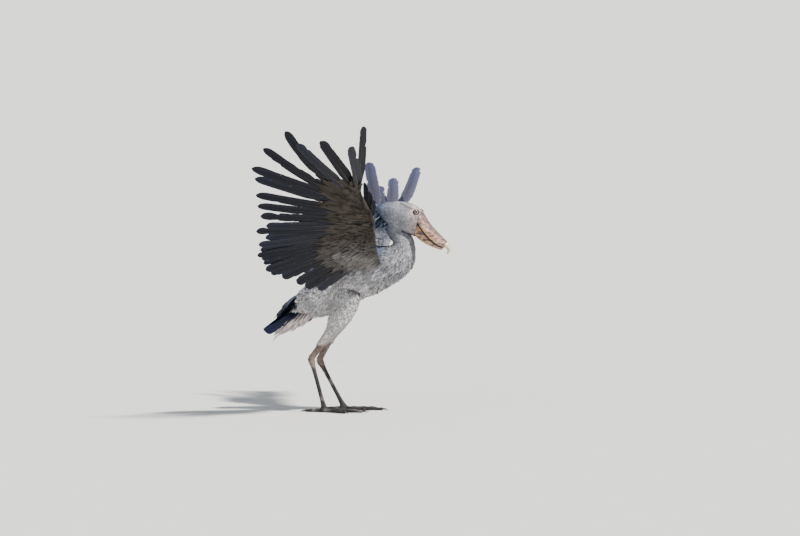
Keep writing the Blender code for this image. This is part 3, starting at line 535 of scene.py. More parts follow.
skin_finish = Finish("skin", 0.62)
spot = skin_finish.place()
bare = skin_finish.read("bare")
patchy = skin_finish.noise(60, 4, spot)
scales = skin_finish.add("TexVoronoi", {"feature": "DISTANCE_TO_EDGE"}, Vector=spot,
                         Scale=210.0).outputs["Distance"]
groove = skin_finish.ramp(scales, (0.0, 0.0), (0.12, 1.0))
tint = skin_finish.blend(1.0, skin_finish.read("tint", "Color"),
                         skin_finish.ramp(patchy, (0.3, 0.62), (0.7, 1.25)), "MULTIPLY")
worn = skin_finish.blend(skin_finish.ramp(skin_finish.noise(24, 5, spot), (0.52, 0.0), (0.68, 0.55)), tint,
                         (0.34, 0.30, 0.27, 1))
scaled = skin_finish.blend(1.0, worn, skin_finish.ramp(groove, (0.0, 0.45), (1.0, 1.0)), "MULTIPLY")
skin_finish.color(skin_finish.blend(bare, tint, scaled))
skin_finish.bump(skin_finish.sum("MULTIPLY", groove, bare), 0.6, 0.0012)
skin.data.materials.append(skin_finish.material)


def fit(obj, slot, *nodes):
    """Sets a finished piece in the model's frame, on its body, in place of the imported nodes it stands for."""
    moved = mesh_points(obj.data) + np.array(MIDDLE)
    obj.data.vertices.foreach_set("co", moved.astype(np.float32).ravel())
    obj.data.update()
    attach(obj, "root")
    if nodes:
        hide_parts(*nodes)


def make_piece(shape, name, finish, slot, *nodes, **keep):
    """Makes a piece from a shape, with the numbers that its material reads, and fits it."""
    made = link(name, shape.mesh(name))
    for key, values in keep.items():
        store(made.data, key, values)
    made.data.materials.append(finish.material)
    fit(made, slot, *nodes)


SIDES = {-1: "right", 1: "left"}
fit(skin, "plumage", "torso", "neck", "head", "tail",
    *[part + side for part in ("thigh_", "shank_", "tarsus_") for side in SIDES.values()],
    *["toe_%s_%s" % (side, toe[0]) for side in SIDES.values() for toe in TOES],
    *["wing_%s_%s" % (side, half) for side in SIDES.values() for half in ("inner", "outer")])

# Body plumage
# Soft grey contour feathers, each a small cupped blade with a ragged end, set close over the whole
# skin. They are tiny on the face, long and pointed on the lower neck and breast, broad on the flanks.
chance = np.random.default_rng(5)

plumage = Finish("body_plumage", 0.85, sheen=0.05)
plumage.shader.inputs["Specular IOR Level"].default_value = 0.2
barbs, far, edge, tone = plumage.barbs(-2.2, 3.2, 0.5)
strand = plumage.noise(9.0, 3.0, barbs)
mottle = plumage.noise(22, 4.0)
shade = plumage.sum("ADD", plumage.ramp(strand, (0.3, 0.80), (0.7, 1.12)),
                    plumage.sum("MULTIPLY_ADD", tone, 0.46, -0.25))
shade = plumage.sum("MULTIPLY", shade, plumage.ramp(mottle, (0.35, 0.90), (0.65, 1.08)))
rim = plumage.ramp(edge, (0.0, 0.66), (0.35, 0.90), (0.70, 1.04), (1.0, 1.30))
root = plumage.ramp(far, (0.05, 0.60), (0.55, 1.0), (1.0, 1.08))
shade = plumage.sum("MULTIPLY", shade, plumage.sum("MULTIPLY", rim, root))
plumage.color(plumage.shaded_tint(shade))
plumage.bump(strand, 0.35, 0.0008)


class Coat:
    """Feathers gathered into one piece: each is a grid of points, rows from root to tip, columns across."""

    def __init__(self, name, finish):
        self.name, self.finish, self.points, self.keep = name, finish, [], {}
        self.faces, self.places, self.count = [], [], 0

    def add(self, points, places, **keep):
        """Points are (feathers, rows, columns, 3); places are each root's place on the unwrap."""
        n, rows, columns = points.shape[:3]
        grid = np.arange(rows * columns).reshape(rows, columns)
        quads = np.stack([grid[:-1, :-1], grid[:-1, 1:], grid[1:, 1:], grid[1:, :-1]], -1).reshape(-1, 4)
        all_quads = quads[None] + (np.arange(n) * rows * columns)[:, None, None] + self.count
        self.faces.append(all_quads.reshape(-1, 4))
        self.points.append(points.reshape(-1, 3))
        self.count += n * rows * columns
        down, over = np.meshgrid(np.linspace(0, 1, rows), np.linspace(0, 1, columns), indexing="ij")
        patch = np.stack([over, down], -1) * 0.003
        self.places.append((places[:, None, None] + patch[None]).reshape(-1, 2))
        for name, values in keep.items():
            self.keep.setdefault(name, []).append(values.reshape(-1, values.shape[-1]) if name == "tint"
                                                  else np.broadcast_to(values, points.shape[:3]).reshape(-1))

    def make(self):
        faces, points = np.concatenate(self.faces), np.concatenate(self.points)
        mesh = bpy.data.meshes.new(self.name)
        mesh.vertices.add(len(points))
        mesh.vertices.foreach_set("co", points.astype(np.float32).ravel())
        mesh.loops.add(faces.size)
        mesh.loops.foreach_set("vertex_index", faces.astype(np.int32).ravel())
        mesh.polygons.add(len(faces))
        mesh.polygons.foreach_set("loop_start", np.arange(0, faces.size, 4, dtype=np.int32))
        mesh.update(calc_edges=True)
        mesh.shade_smooth()
        for name, values in self.keep.items():
            store(mesh, name, np.concatenate(values), "FLOAT_COLOR" if name == "tint" else "FLOAT")
        bake_map(mesh, np.concatenate(self.places)[faces.ravel()])
        mesh.materials.append(self.finish.material)
        print(self.name, 2 * len(faces))
        return link(self.name, mesh)


def outline(along_it, kind):
    """Half width of a feather, 0 to 1, from root to tip."""
    t = np.clip(along_it, 0, 1)
    if kind == "pointed":
        taper = np.where(t < 0.35, 1, part_of(1 - t, 0.65) ** 0.75)
        return (0.30 + 0.70 * np.sin(np.pi * np.minimum(t / 0.42, 1) / 2)) * taper
    taper = np.where(t < 0.5, 1, np.clip(1 - ((t - 0.5) / 0.5) ** 2.6, 0, 1) ** 0.5)
    return (0.34 + 0.66 * np.sin(np.pi * np.minimum(t / 0.5, 1) / 2)) * taper


def blades(spots, lie, out, length, width, rows, columns, kind, ragged):
    """Flat feather blades at their places, as a grid of points with their shares along and across."""
    n = len(spots)
    side = unit(np.cross(out, lie))
    a = np.linspace(0, 1, rows)[None, :, None]
    b = np.linspace(-1, 1, columns)[None, None, :]
    teeth = 1 - ragged * chance.random((n, 1, columns)) * part_of(a - 0.45, 0.55)
    reach = np.broadcast_to(a, (n, rows, columns)) * teeth
    spread = outline(a * 0.96, kind) * b * (1 + 0.10 * chance.standard_normal((n, 1, 1)))
    points = spots[:, None, None] + lie[:, None, None] * (length[:, None, None] * reach)[..., None]
    points = points + side[:, None, None] * (width[:, None, None] / 2 * spread)[..., None]
    return points, np.broadcast_to(a, reach.shape), np.broadcast_to(b, reach.shape)


def add_blades(coat, points, places, colors, a, b):
    """Adds blades to a coat with a colour each, and a tone that is drawn for each."""
    coat.add(points, places, tint=np.broadcast_to(colors[:, None, None], points.shape), along=a, across=b,
             tone=chance.random((len(points), 1, 1)))


def scatter(wanted, spacing_at):
    """Places spread over the skin so that no two are nearer than the spacing where they are."""
    triangles = skin.data.loop_triangles
    skin.data.calc_loop_triangles()
    index = np.empty(len(triangles) * 3, np.int32)
    triangles.foreach_get("vertices", index)
    index = index.reshape(-1, 3)
    a, b, c = (skin_points[index[:, k]] for k in range(3))
    normal = np.cross(b - a, c - a)
    area = np.linalg.norm(normal, axis=1)
    middle = (a + b + c) / 3
    spacing = spacing_at(middle)
    share = np.where(spacing > 0, area / np.maximum(spacing, 1e-4) ** 2, 0)
    pick = chance.choice(len(share), wanted, p=share / share.sum())
    u, v = chance.random((2, wanted, 1))
    flip = (u + v) > 1
    u, v = np.where(flip, 1 - u, u), np.where(flip, 1 - v, v)
    points = a[pick] + (b - a)[pick] * u + (c - a)[pick] * v
    near = spacing[pick]
    cell = 0.012
    homes, chosen = {}, []
    keys = np.floor(points / cell).astype(int)
    for k in range(wanted):
        x, y, z = keys[k]
        p, limit = points[k], (near[k] * 0.62) ** 2
        around = (q for i in (x - 1, x, x + 1) for j in (y - 1, y, y + 1) for h in (z - 1, z, z + 1)
                  for q in homes.get((i, j, h), ()))
        if not any((p[0] - q[0]) ** 2 + (p[1] - q[1]) ** 2 + (p[2] - q[2]) ** 2 < limit for q in around):
            homes.setdefault((x, y, z), []).append((p[0], p[1], p[2]))
            chosen.append(k)
    return points[chosen], normal[pick][chosen] / area[pick][chosen][:, None]


def on_skin(points, height):
    """Lays points on the skin, each at its height above it."""
    flat, tall = points.reshape(-1, 3), height.reshape(-1)
    laid = np.empty_like(flat)
    find = skin_tree.find_nearest
    for k, p in enumerate(flat.tolist()):
        place, normal, face, gap = find(p)
        h = tall[k]
        laid[k] = (place[0] + normal[0] * h, place[1] + normal[1] * h, place[2] + normal[2] * h)
    return laid.reshape(points.shape)


def body_spacing(points):
    """Distance between feathers at each place, 0 where none grow from the skin."""
    guide = lie_at(points)
    x, y, z = points.T
    space = np.sqrt(guide[:, 3] * guide[:, 4]) * 0.36
    none = (z < 0.306) | ((np.abs(y) > 0.115) & (z > 0.60)) | (x < -0.172)
    for ey in (-1, 1):
        none |= (x - EYE_X) ** 2 + (y - ey * 0.048) ** 2 + (z - EYE_Z) ** 2 < 0.0128 ** 2
    face_x, face_z, face_lean = HEAD[-1][0], HEAD[-1][1], math.radians(HEAD[-1][4])
    face = (x - face_x) * math.cos(face_lean) + (z - face_z) * math.sin(face_lean)
    none |= (face > -0.0008) & (z > 0.76) & (x > 0.36)
    return np.where(none, 0, space)


places, outward = scatter(150000, body_spacing)
print("feathers", len(places))
guide = lie_at(places)
lie = guide[:, :3] + 0.09 * chance.standard_normal((len(places), 3))
rear = part_of(-0.095 - places[:, 0], 0.05)
lie = lie * (1 - rear[:, None]) + np.array((-0.80, 0, -0.60)) * rear[:, None]
length = guide[:, 3] * (1 + 0.16 * chance.standard_normal(len(places))) * (1 - 0.30 * rear)
width = guide[:, 4] * (1 + 0.12 * chance.standard_normal(len(places)))
greys = grey_at(places, outward[:, 2])
# Breast and lower neck are scaly: some feathers are much darker than the ones beside them
breast = part_of(places[:, 0] - 0.18, 0.08) * part_of(0.78 - places[:, 2], 0.06) * (places[:, 2] > 0.50)
breast = breast[:, None]
greys = greys * (1 + breast * (0.24 * chance.standard_normal((len(places), 1)).clip(-2, 1.2) - 0.03))
x, y, z = places.T
neck_part = (x > 0.235) & (z < 0.80) & (z > 0.5)
head_part = z >= 0.80
groups = (("head_feathers", head_part, 5, 4, "round", 0.25, 0.0010, 0.0022),
          ("neck_feathers", neck_part & ~head_part, 6, 4, "pointed", 0.30, 0.0012, 0.0048),
          ("right_side_feathers", ~head_part & ~neck_part & (y < 0), 6, 5, "round", 0.34, 0.0015, 0.0058),
          ("left_side_feathers", ~head_part & ~neck_part & (y >= 0), 6, 5, "round", 0.34, 0.0015, 0.0058))
for name, mine, rows, columns, kind, ragged, low, high in groups:
    pick = np.nonzero(mine)[0]
    out = outward[pick]
    way = unit(lie[pick] - out * (lie[pick] * out).sum(1)[:, None])
    points, a, b = blades(places[pick], way, out, length[pick], width[pick], rows, columns, kind, ragged)
    stand = high * np.clip(length[pick] / 0.034, 0.35, 1.2) * (1 + 0.35 * chance.standard_normal(len(pick)))
    height = low + stand[:, None, None] * a ** 1.3 - (width[pick][:, None, None] * 0.09) * b ** 2
    points = on_skin(points, np.maximum(height, 0.0004))
    coat = Coat(name, plumage)
    add_blades(coat, points, unwrap_round(places[pick]), greys[pick], a, b)
    fit(coat.make(), "plumage")


# Flight feathers
# Ten primaries on each hand and fifteen secondaries on each forearm: stiff slate vanes on a shaft,
# rooted in a row along the rear of the arm and fanned one over the next. Edges are split here and there.
PRIMARY_LENGTH = (0.44, 0.48, 0.53, 0.57, 0.60, 0.605, 0.59, 0.56, 0.53, 0.51)
FAN = {-1: (71, 74, 104, 123, 126, 143, 156, 160, 168, 173), 1: (109, 156, 170, 150, 175, 182, 186, 189, 193, 195)}
LEAN_OUT = {-1: (46, 62, 60, 57, 48, 44, 39, 37, 33, 28), 1: (74, 69, 63, 57, 54, 48, 43, 37, 32, 28)}
CURL = {-1: (0.02, 0.02, 0.03, 0.04, 0.04, 0.03, 0.03, 0.02, 0.02, 0.02),
        1: (0.03, 0.20, 0.20, 0.18, 0.10, 0.05, 0.03, 0.02, 0.02, 0.02)}
SWEEP = {-1: (0.0, 0.0, 0.0, 0.02, 0.13, 0.07, 0.0, 0.0, 0.0, 0.0), 1: (0.0,) * 10}
SECONDARIES = 15
SECOND_LENGTH = ((0.50,), (0.47,), (0.43,), (0.37,), (0.29,))
SECOND_FAN = {-1: ((177,), (186,), (194,), (203,), (216,)), 1: ((198,), (202,), (206,), (211,), (220,))}
SECOND_OUT = ((23,), (17,), (12,), (6,), (-4,))
PRIMARY_WIDTH, SECONDARY_WIDTH = 0.050, 0.058
SHINGLE = math.radians(10)
# Upper and under faces are lit and shaded copies of one slate: the under face is near-black as painted shade
SLATE_UNDER_SHADED, SLATE_OVER_LIT = (0.015, 0.016, 0.022), (0.092, 0.092, 0.132)
# Tips of the far wing as they show over the head: to the right of the feet and above them
FAR_TIPS = ((0.365, 1.095), (0.345, 1.041), (0.256, 1.046), (0.251, 0.992), (0.189, 1.010), (0.185, 0.966),
            (0.145, 1.117))
FAR_LENGTH = (0.44, 0.44, 0.47, 0.46, 0.50, 0.50, 0.56)
FAR_BACK = (0.0, 0.010, 0.044, 0.050, 0.086, 0.090, 0.105, 0.080, 0.055, 0.025)

quill = Finish("flight_feathers", 0.55)
quill.shader.inputs["Specular IOR Level"].default_value = 0.22
barbs, far, edge, tone = quill.barbs(-1.5, 26.0, 0.35)
strand = quill.noise(5.0, 3.0, barbs)
shade = quill.sum("MULTIPLY", quill.ramp(strand, (0.3, 0.78), (0.7, 1.24)),
                  quill.sum("MULTIPLY_ADD", tone, 0.5, 0.75))
shade = quill.sum("MULTIPLY", shade, quill.ramp(edge, (0.0, 0.72), (0.5, 0.95), (0.86, 1.05), (1.0, 1.75)))
tinted = quill.shaded_tint(shade)
# Pale flecks near the edges are painted light shining through splits in the vanes
light_through_splits = quill.ramp(quill.noise(3.2, 1.0, barbs), (0.735, 0.0), (0.75, 0.55))
tinted = quill.blend(quill.sum("MULTIPLY", light_through_splits, quill.ramp(edge, (0.55, 0.0), (0.8, 1.0))), tinted,
                     (0.52, 0.52, 0.56, 1))
quill.color(tinted)
quill.bump(strand, 0.4, 0.0007)


def aim(fan, out, sign):
    """Direction with a bearing in the side view and a lean outward, in degrees."""
    f, o = math.radians(fan), math.radians(out)
    return np.array((math.cos(f) * math.cos(o), sign * math.sin(o), math.sin(f) * math.cos(o)))


def wing_row(sign):
    """Each flight feather from the outermost in: root, aim, length, width, curl, sweep, upper side."""
    shoulder, elbow, wrist, finger = arm_joints(sign)
    rows = []
    for k in range(10):
        spot = 1 - (k + 0.5) / 10 * 0.92
        rows.append((wrist + (finger - wrist) * spot, aim(FAN[sign][k], LEAN_OUT[sign][k], sign), PRIMARY_LENGTH[k],
                     PRIMARY_WIDTH, CURL[sign][k], -sign * SWEEP[sign][k]))
    bones = [row[0] for row in rows]
    if sign > 0:
        across, upward, away = np.array((0.970, 0.242, 0)), np.array((-0.013, 0.051, 0.9986)), np.array((-0.242,
                                                                                                         0.969,
                                                                                                         -0.052))
        rows = [(row[0] - across * step,) + row[1:] for row, step in zip(rows, FAR_BACK)]
        for k, (tip, size) in enumerate(zip(FAR_TIPS, FAR_LENGTH)):
            start = rows[k][0]
            right_by, up_by = tip[0] - across @ start, tip[1] - upward @ start
            ahead = right_by * across + up_by * upward + math.sqrt(size ** 2 - right_by ** 2 - up_by ** 2) * away
            rows[k] = (start, unit(ahead), size, 0.058, 0.03, 0.0)
    for k in range(SECONDARIES):
        t = k / (SECONDARIES - 1)
        spot = 0.07 + t * 1.40
        start = wrist + (elbow - wrist) * spot if spot < 1 else elbow + (shoulder - elbow) * (spot - 1) * 1.2
        ahead = aim(along(SECOND_FAN[sign], t)[0] + 0.7 * chance.standard_normal(), along(SECOND_OUT, t)[0], sign)
        rows.append((start, ahead, along(SECOND_LENGTH, t)[0] * (1 - 0.10 * chance.random())
                     * (1 if sign < 0 else 0.92), SECONDARY_WIDTH, 0.02, 0.02 * chance.standard_normal()))
    spots = [r[0] + r[1] * 0.15 for r in rows]
    planes = []
    for k, r in enumerate(rows):
        plane = np.cross(r[1], spots[min(k + 2, len(rows) - 1)] - spots[max(k - 2, 0)])
        planes.append(unit(plane) * (1 if plane[2] > 0 else -1))
    if sign > 0:
        # The spread tips of the far wing are twisted flat to the side
        for k, twist in enumerate((1.0, 1.0, 1.0, 1.0, 1.0, 0.9, 0.7)):
            flat = unit(np.cross(np.array((0.97, 0.24, 0.0)), rows[k][1]))
            planes[k] = unit(planes[k] * (1 - twist) + flat * twist * (1 if flat @ planes[k] > 0 else -1))
    return rows, planes, bones


def shaft_line(root, ahead, length, curl, sweep, plane, t):
    """Points along a feather's shaft and the direction there."""
    flat = unit(plane - ahead * plane.dot(ahead))
    side = np.cross(ahead, flat)
    tip = root + ahead * length
    middle = (root + tip) / 2 - flat * curl * length + side * sweep * length
    t = t[:, None]
    line = root * (1 - t) ** 2 + middle * 2 * t * (1 - t) + tip * t ** 2
    way = unit((middle - root) * 2 * (1 - t) + (tip - middle) * 2 * t)
    return line, way, flat, side


def split_edge(count, splits):
    """Shares of the half width, with narrow notches where the barbs have parted."""
    half = 1 - 0.05 * chance.random(count)
    for k in range(splits):
        at = int(count * (0.35 + 0.6 * chance.random()))
        depth = 0.08 + 0.22 * chance.random()
        for j in range(4):
            if at + j < count:
                half[at + j] *= 1 - depth * (1 - j / 4)
    return half


def flight_feather(coat, row, plane, sign, tilt, under, over, place, stations=64, thick=0.0014, splits=2,
                   blunt=0.91):
    """One stiff feather: a closed blade, wider behind its shaft, and a raised shaft on the under side."""
    root, ahead, length, width, curl, sweep = row
    t = np.linspace(0, 1, stations)
    line, way, flat, side = shaft_line(root, ahead, length, curl, sweep, plane, t)
    turned = math.cos(tilt) * side + math.sin(tilt) * flat
    face = math.cos(tilt) * flat - math.sin(tilt) * side
    body = (0.20 + 0.80 * np.clip(t / 0.30, 0, 1) ** 0.7) * (1 - 0.14 * part_of(t - 0.45, 0.45))
    body = body * np.clip(1 - ((t - blunt) / (1 - blunt)).clip(0) ** 2, 0.004, 1) ** 0.5
    shares = {1: 0.38, -1: 0.62}
    spread = np.array((1, 0.86, 0.6, 0.3, 0.05, -0.05, -0.3, -0.6, -0.86, -1.0))
    halves = {s: body * width * shares[s] * split_edge(stations, splits) for s in (1, -1)}
    rings = []
    for level in (1, -1):
        cols = []
        for b in (spread if level > 0 else spread[::-1]):
            s = 1 if b > 0 else -1
            reach = b * halves[s] * -sign
            sag = -0.10 * np.abs(b) ** 2 * halves[s]
            depth = level * thick / 2 * (1 - 0.6 * abs(b)) * (1 - 0.5 * t)
            cols.append(line + turned[None] * reach[:, None] + face[None] * (sag + depth)[:, None])
        rings.append((np.stack(cols, 1), spread if level > 0 else spread[::-1]))
    tone = np.array(chance.random()).reshape(1, 1, 1)
    # The upper face takes the lit slate and the under face its darker painted-shade copy
    for (grid, spans), tint in zip(rings, (over, under)):
        # Tips turn bluer as a painted sky-lit highlight
        bluish_tip_highlight = part_of(t - 0.55, 0.45)[:, None]
        color = np.array(tint)[None] * (1 - bluish_tip_highlight) + np.array(tint)[None] * np.array((1.0, 1.06, 1.28)) * bluish_tip_highlight
        shape = (1,) + grid.shape[:2]
        coat.add(grid[None], np.array([place]), tint=np.broadcast_to(color[None, :, None], grid[None].shape),
                 along=t[None, :, None] * np.ones(shape), across=spans[None, None] * np.ones(shape), tone=tone)
    angles = np.linspace(0, 2 * np.pi, 6)
    thin = (0.0021 * (1 - t) ** 0.8 + 0.0003) * (width / 0.05)
    tube = [line - face[None] * (thick * 0.4) + (turned * math.cos(g) + face * math.sin(g))[None] * thin[:, None]
            for g in angles]
    grid = np.stack(tube, 1)[:int(stations * 0.93)]
    shape = (1,) + grid.shape[:2]
    pale = np.array((0.12, 0.10, 0.09)) * (1 - t) [:len(grid), None] ** 1.2 + np.array(under) * 1.3
    coat.add(grid[None], np.array([place]), tint=np.broadcast_to(pale[None, :, None], grid[None].shape),
             along=np.full(shape, 0.3), across=np.full(shape, 0.5), tone=np.full(shape, 0.5))


wings = {}
for sign, label in SIDES.items():
    rows, planes, bones = wing_row(sign)
    wings[sign] = (rows, planes, bones)
    coat = Coat("%s_wing_flight_feathers" % label, quill)
    for k, (row, plane) in enumerate(zip(rows, planes)):
        # The innermost secondaries are greyer and softer
        soft = part_of(k - 18, 6)
        # Under faces get the near-black painted-shade slate, upper faces the lit slate
        under = np.array(SLATE_UNDER_SHADED) * (1 + 0.5 * chance.random()) + np.array((0.02, 0.018, 0.016)) * soft
        over = np.array(SLATE_OVER_LIT) * (0.85 + 0.3 * chance.random()) + np.array((0.08, 0.08, 0.07)) * soft
        flight_feather(coat, row, plane, sign, SHINGLE * sign, under, over, (k / 26, 0.1),
                       splits=2 + (k > 9) + 2 * (k > 17), blunt=0.91 if k < 10 else 0.93)
    fit(coat.make(), "flight_feathers")

# Alula
# Three short stiff slate feathers on the thumb of each wing. They stand off the front edge by the wrist.
# Share along the hand, aim with its lean outward, length
ALULA = ((0.30, (0.005, 0.072, 0.129), 0.150), (0.18, (0.020, 0.073, 0.108), 0.132),
         (0.08, (0.034, 0.076, 0.084), 0.120))
for sign, label in SIDES.items():
    shoulder, elbow, wrist, finger = arm_joints(sign)
    coat = Coat("%s_wing_alula" % label, quill)
    for k, (share, toward, size) in enumerate(ALULA):
        row = (wrist + (finger - wrist) * share, unit(np.array(toward) * (1, sign, 1)),
               size * (1 if sign < 0 else 0.55), 0.026, 0.03, 0.0)
        flight_feather(coat, row, wings[sign][1][9], sign, 0.0, SLATE_UNDER_SHADED, SLATE_OVER_LIT, (0.9, 0.1 * k),
                       stations=30, splits=1, blunt=0.70)
    fit(coat.make(), "flight_feathers")

# Wing coverts
# Soft feathers in rows that cover the roots of the flight feathers on both faces: dark brown-grey below as painted
# shade with a warm bounce, blue-grey above, longest in the last row and very small along the front edge of the arm.
COVERT_SHARE = np.array((0.10, 0.20, 0.34, 0.42, 0.44, 0.44, 0.43, 0.43, 0.43, 0.43) + (0.43,
                                                                                        ) * 9 + (0.46, 0.48, 0.50,
                                                                                                 0.54, 0.58, 0.62))


def wing_frame(sign):
    """Arrays along the wing, outermost first: roots, aims, lengths, upper sides and front edge."""
    rows, planes, bones = wings[sign]
    roots, aims = np.array([r[0] for r in rows]), np.array([r[1] for r in rows])
    lengths, curls, sweeps = (np.array([r[k] for r in rows]) for k in (2, 4, 5))
    lead = arm_edges(sign)[0]
    fronts = [bones[k] - unit(aims[k] * (1, 0.3, 1)) * (0.012 + 0.004 * k / 10) for k in range(10)]
    fronts += [along(lead, 1 - k / (SECONDARIES - 1) * 0.98) for k in range(SECONDARIES)]
    return roots, aims, lengths, curls, sweeps, np.array(planes), np.array(fronts)


def between(values, s):
    """Rows of a table read at fractional places."""
    low = np.clip(s.astype(int), 0, len(values) - 2)
    part = np.clip(s - low, 0, 1)
    part = part[..., None] if values.ndim > 1 else part
    return values[low] * (1 - part) + values[low + 1] * part


def wing_place(table, s, m, height, face):
    """A point on a face of the wing: s along the row, m from -1 at the front edge through 0 at the
    roots to 1 at the tips."""
    roots, aims, lengths, curls, sweeps, planes, fronts = table
    root, ahead, plane, front = (between(v, s) for v in (roots, aims, planes, fronts))
    ahead, plane = unit(ahead), unit(plane)
    length, curl, sweep = (between(v, s)[..., None] for v in (lengths, curls, sweeps))
    t = np.clip(m, 0, 1)[..., None]
    flat = unit(plane - ahead * (plane * ahead).sum(-1, keepdims=True))
    side = np.cross(ahead, flat)
    line = root + ahead * length * t + (side * sweep - flat * curl) * length * 2 * t * (1 - t)
    line = line + (front - root) * np.clip(-m, 0, 1)[..., None]
    return line + flat * (height * face)[..., None]


def deep_at(m, s):
    """Half thickness of the wing under its coverts."""
    arm = np.interp(s, (0, 9, 12, 24), (0.007, 0.0115, 0.0135, 0.0165))
    return arm * np.interp(m, (-1, -0.8, -0.45, 0.0, 0.16, 0.5), (0.10, 0.75, 1.1, 0.95, 0.42, 0.16))


# Rows of coverts: start and end across the wing, feathers in the row, width, height of the tip, shade
TIERS = ((0.03, 1.00, 46, 0.034, 0.0030, 0.86), (0.02, 0.72, 54, 0.028, 0.0048, 0.98),
         (-0.06, 0.52, 62, 0.023, 0.0062, 1.06), (-0.16, 0.34, 70, 0.019, 0.0072, 1.02),
         (-0.28, 0.16, 78, 0.016, 0.0078, 0.96), (-0.42, 0.0, 84, 0.014, 0.0080, 1.0),
         (-0.56, -0.22, 88, 0.012, 0.0080, 0.94), (-0.70, -0.40, 92, 0.010, 0.0078, 0.98),
         (-0.84, -0.58, 96, 0.009, 0.0066, 0.92), (-0.99, -0.76, 100, 0.008, 0.0050, 0.96))
# The under face's dark brown is painted shade with a warm bounce; the grey is the paler inner patch
UNDER_BROWN_SHADED, UNDER_GREY, OVER_GREY = np.array((0.075, 0.062, 0.053)), np.array((0.150, 0.140,
                                                                                0.137)), np.array((0.21, 0.215,
                                                                                                   0.25))
for sign, label in SIDES.items():
    table = wing_frame(sign)
    for face, side_name in ((-1, "under"), (1, "upper")):
        coat = Coat("%s_wing_%s_coverts" % (label, side_name), plumage)
        calm = 0.25 if face < 0 else 0.7
        for start, end, many, breadth, lift, dark in TIERS:
            n = int(many * 1.25)
            s = np.linspace(0.0, 23.9, n) + 0.22 * chance.standard_normal(n)
            s = np.clip(s, 0, 24)
            share = between(COVERT_SHARE, s) * (1 if sign < 0 else np.clip(s / 11 - 0.2, 0.10, 1))
            first = start + 0.03 * chance.standard_normal(n)
            last = np.where(end > 0, end * share, end) + (0.030 if end > 0 else 0.05) * chance.standard_normal(n)
            keep = last - first > 0.04
            s, first, last, share = s[keep], first[keep], last[keep], share[keep]
            n = len(s)
            rows, columns = 10, 6
            a = np.linspace(0, 1, rows)[None, :, None]
            b = np.linspace(-1, 1, columns)[None, None, :]
            teeth = 1 - 0.28 * chance.random((n, 1, columns)) * part_of(a - 0.5, 0.5)
            m = first[:, None, None] + (last - first)[:, None, None] * a * teeth
            shape = m.shape
            s_all = s[:, None, None] * np.ones(shape)
            along_row = unit(wing_place(table, np.clip(s_all + 0.5, 0, 24), m, np.zeros(shape), face)
                             - wing_place(table, np.clip(s_all - 0.5, 0, 24), m, np.zeros(shape), face))
            height = deep_at(m, s_all) + lift * (0.25 + 0.75 * a) + 0.0012 * chance.standard_normal((n, 1, 1))
            middle = wing_place(table, s_all, m, height, face)
            size = breadth * (1 + 0.15 * chance.standard_normal((n, 1, 1)))
            half = size / 2 * outline(a * 0.95, "round") * b
            shy = chance.standard_normal((n, 1, 1)) * 0.12 * (last - first)[:, None, None] * between(table[2],
                                                                                                     s)[:, None,
                                                                                                        None]
            points = middle + along_row * (half + shy * a ** 2)[..., None]
            up = unit(table[5])[np.clip(s.astype(int), 0, 24)][:, None, None]
            points = points - up * (face * 0.12 * size / 2 * b ** 2)[..., None]
            if face < 0:
                inner = part_of(s - 15, 7) * np.clip((0.35 - first) / 0.5, 0.2, 1)
                tint = UNDER_BROWN_SHADED * (1 - inner[:, None]) + UNDER_GREY * inner[:, None]
            else:
                tint = np.broadcast_to(OVER_GREY, (n, 3))
            tint = tint * (dark * (1 + (0.10 if face < 0 else 0.13) * chance.standard_normal(n))
                           * (1.22 if face < 0 else 1))[:, None]
            places = np.stack([s / 25, np.full(n, 0.5 + start * 0.45)], 1)
            coat.add(points, places, tint=np.broadcast_to(tint[:, None, None], points.shape),
                     along=a * np.ones(shape), across=b * calm * np.ones(shape),
                     tone=0.5 + (chance.random((n, 1, 1)) - 0.5) * calm)
        fit(coat.make(), "plumage")

# Tail
# Twelve short broad slate feathers in a slightly bent fan, darkened to navy as painted shade, with long pale
# coverts that hang under them in scalloped rows and grey ones over their roots, dark blue-grey as painted shade.
TAIL_ROOT, TAIL_WAY, TAIL_LENGTH = np.array((-0.160, 0, 0.463)), unit(np.array((-0.158, 0, -0.114))), 0.195
TAIL_UP = unit(np.array((-0.585, 0, 0.811)))
# Both faces of the tail are dark slate, darkened to navy as painted shade under the wing
TAIL_UNDER_SHADED, TAIL_OVER_SHADED = (0.012, 0.014, 0.026), (0.018, 0.022, 0.040)
coat = Coat("tail_feathers", quill)
for k in range(12):
    spread = (k / 11 - 0.5) * 2
    turn = math.radians(9) * spread
    way = unit(TAIL_WAY * math.cos(turn) + np.array((0, math.sin(turn), 0)))
    slope = math.radians(62) * spread
    height = 0.026 - 0.036 * abs(spread) ** 1.3 - 0.0012 * (k % 2)
    start = TAIL_ROOT - TAIL_WAY * 0.012 + TAIL_UP * height + np.array((0, spread * 0.026, 0))
    way = unit(way - TAIL_UP * (0.045 if abs(spread) < 0.5 else 0.0))
    row = (start, way, TAIL_LENGTH * (1.08 - 0.08 * abs(spread)), 0.042, 0.02, 0.0)
    plane = unit(TAIL_UP * math.cos(slope) + np.array((0, math.sin(slope), 0)))
    flight_feather(coat, row, plane, -1, 0.0, TAIL_UNDER_SHADED, TAIL_OVER_SHADED, (k / 13, 0.2), splits=2, blunt=0.88)
fit(coat.make(), "flight_feathers")

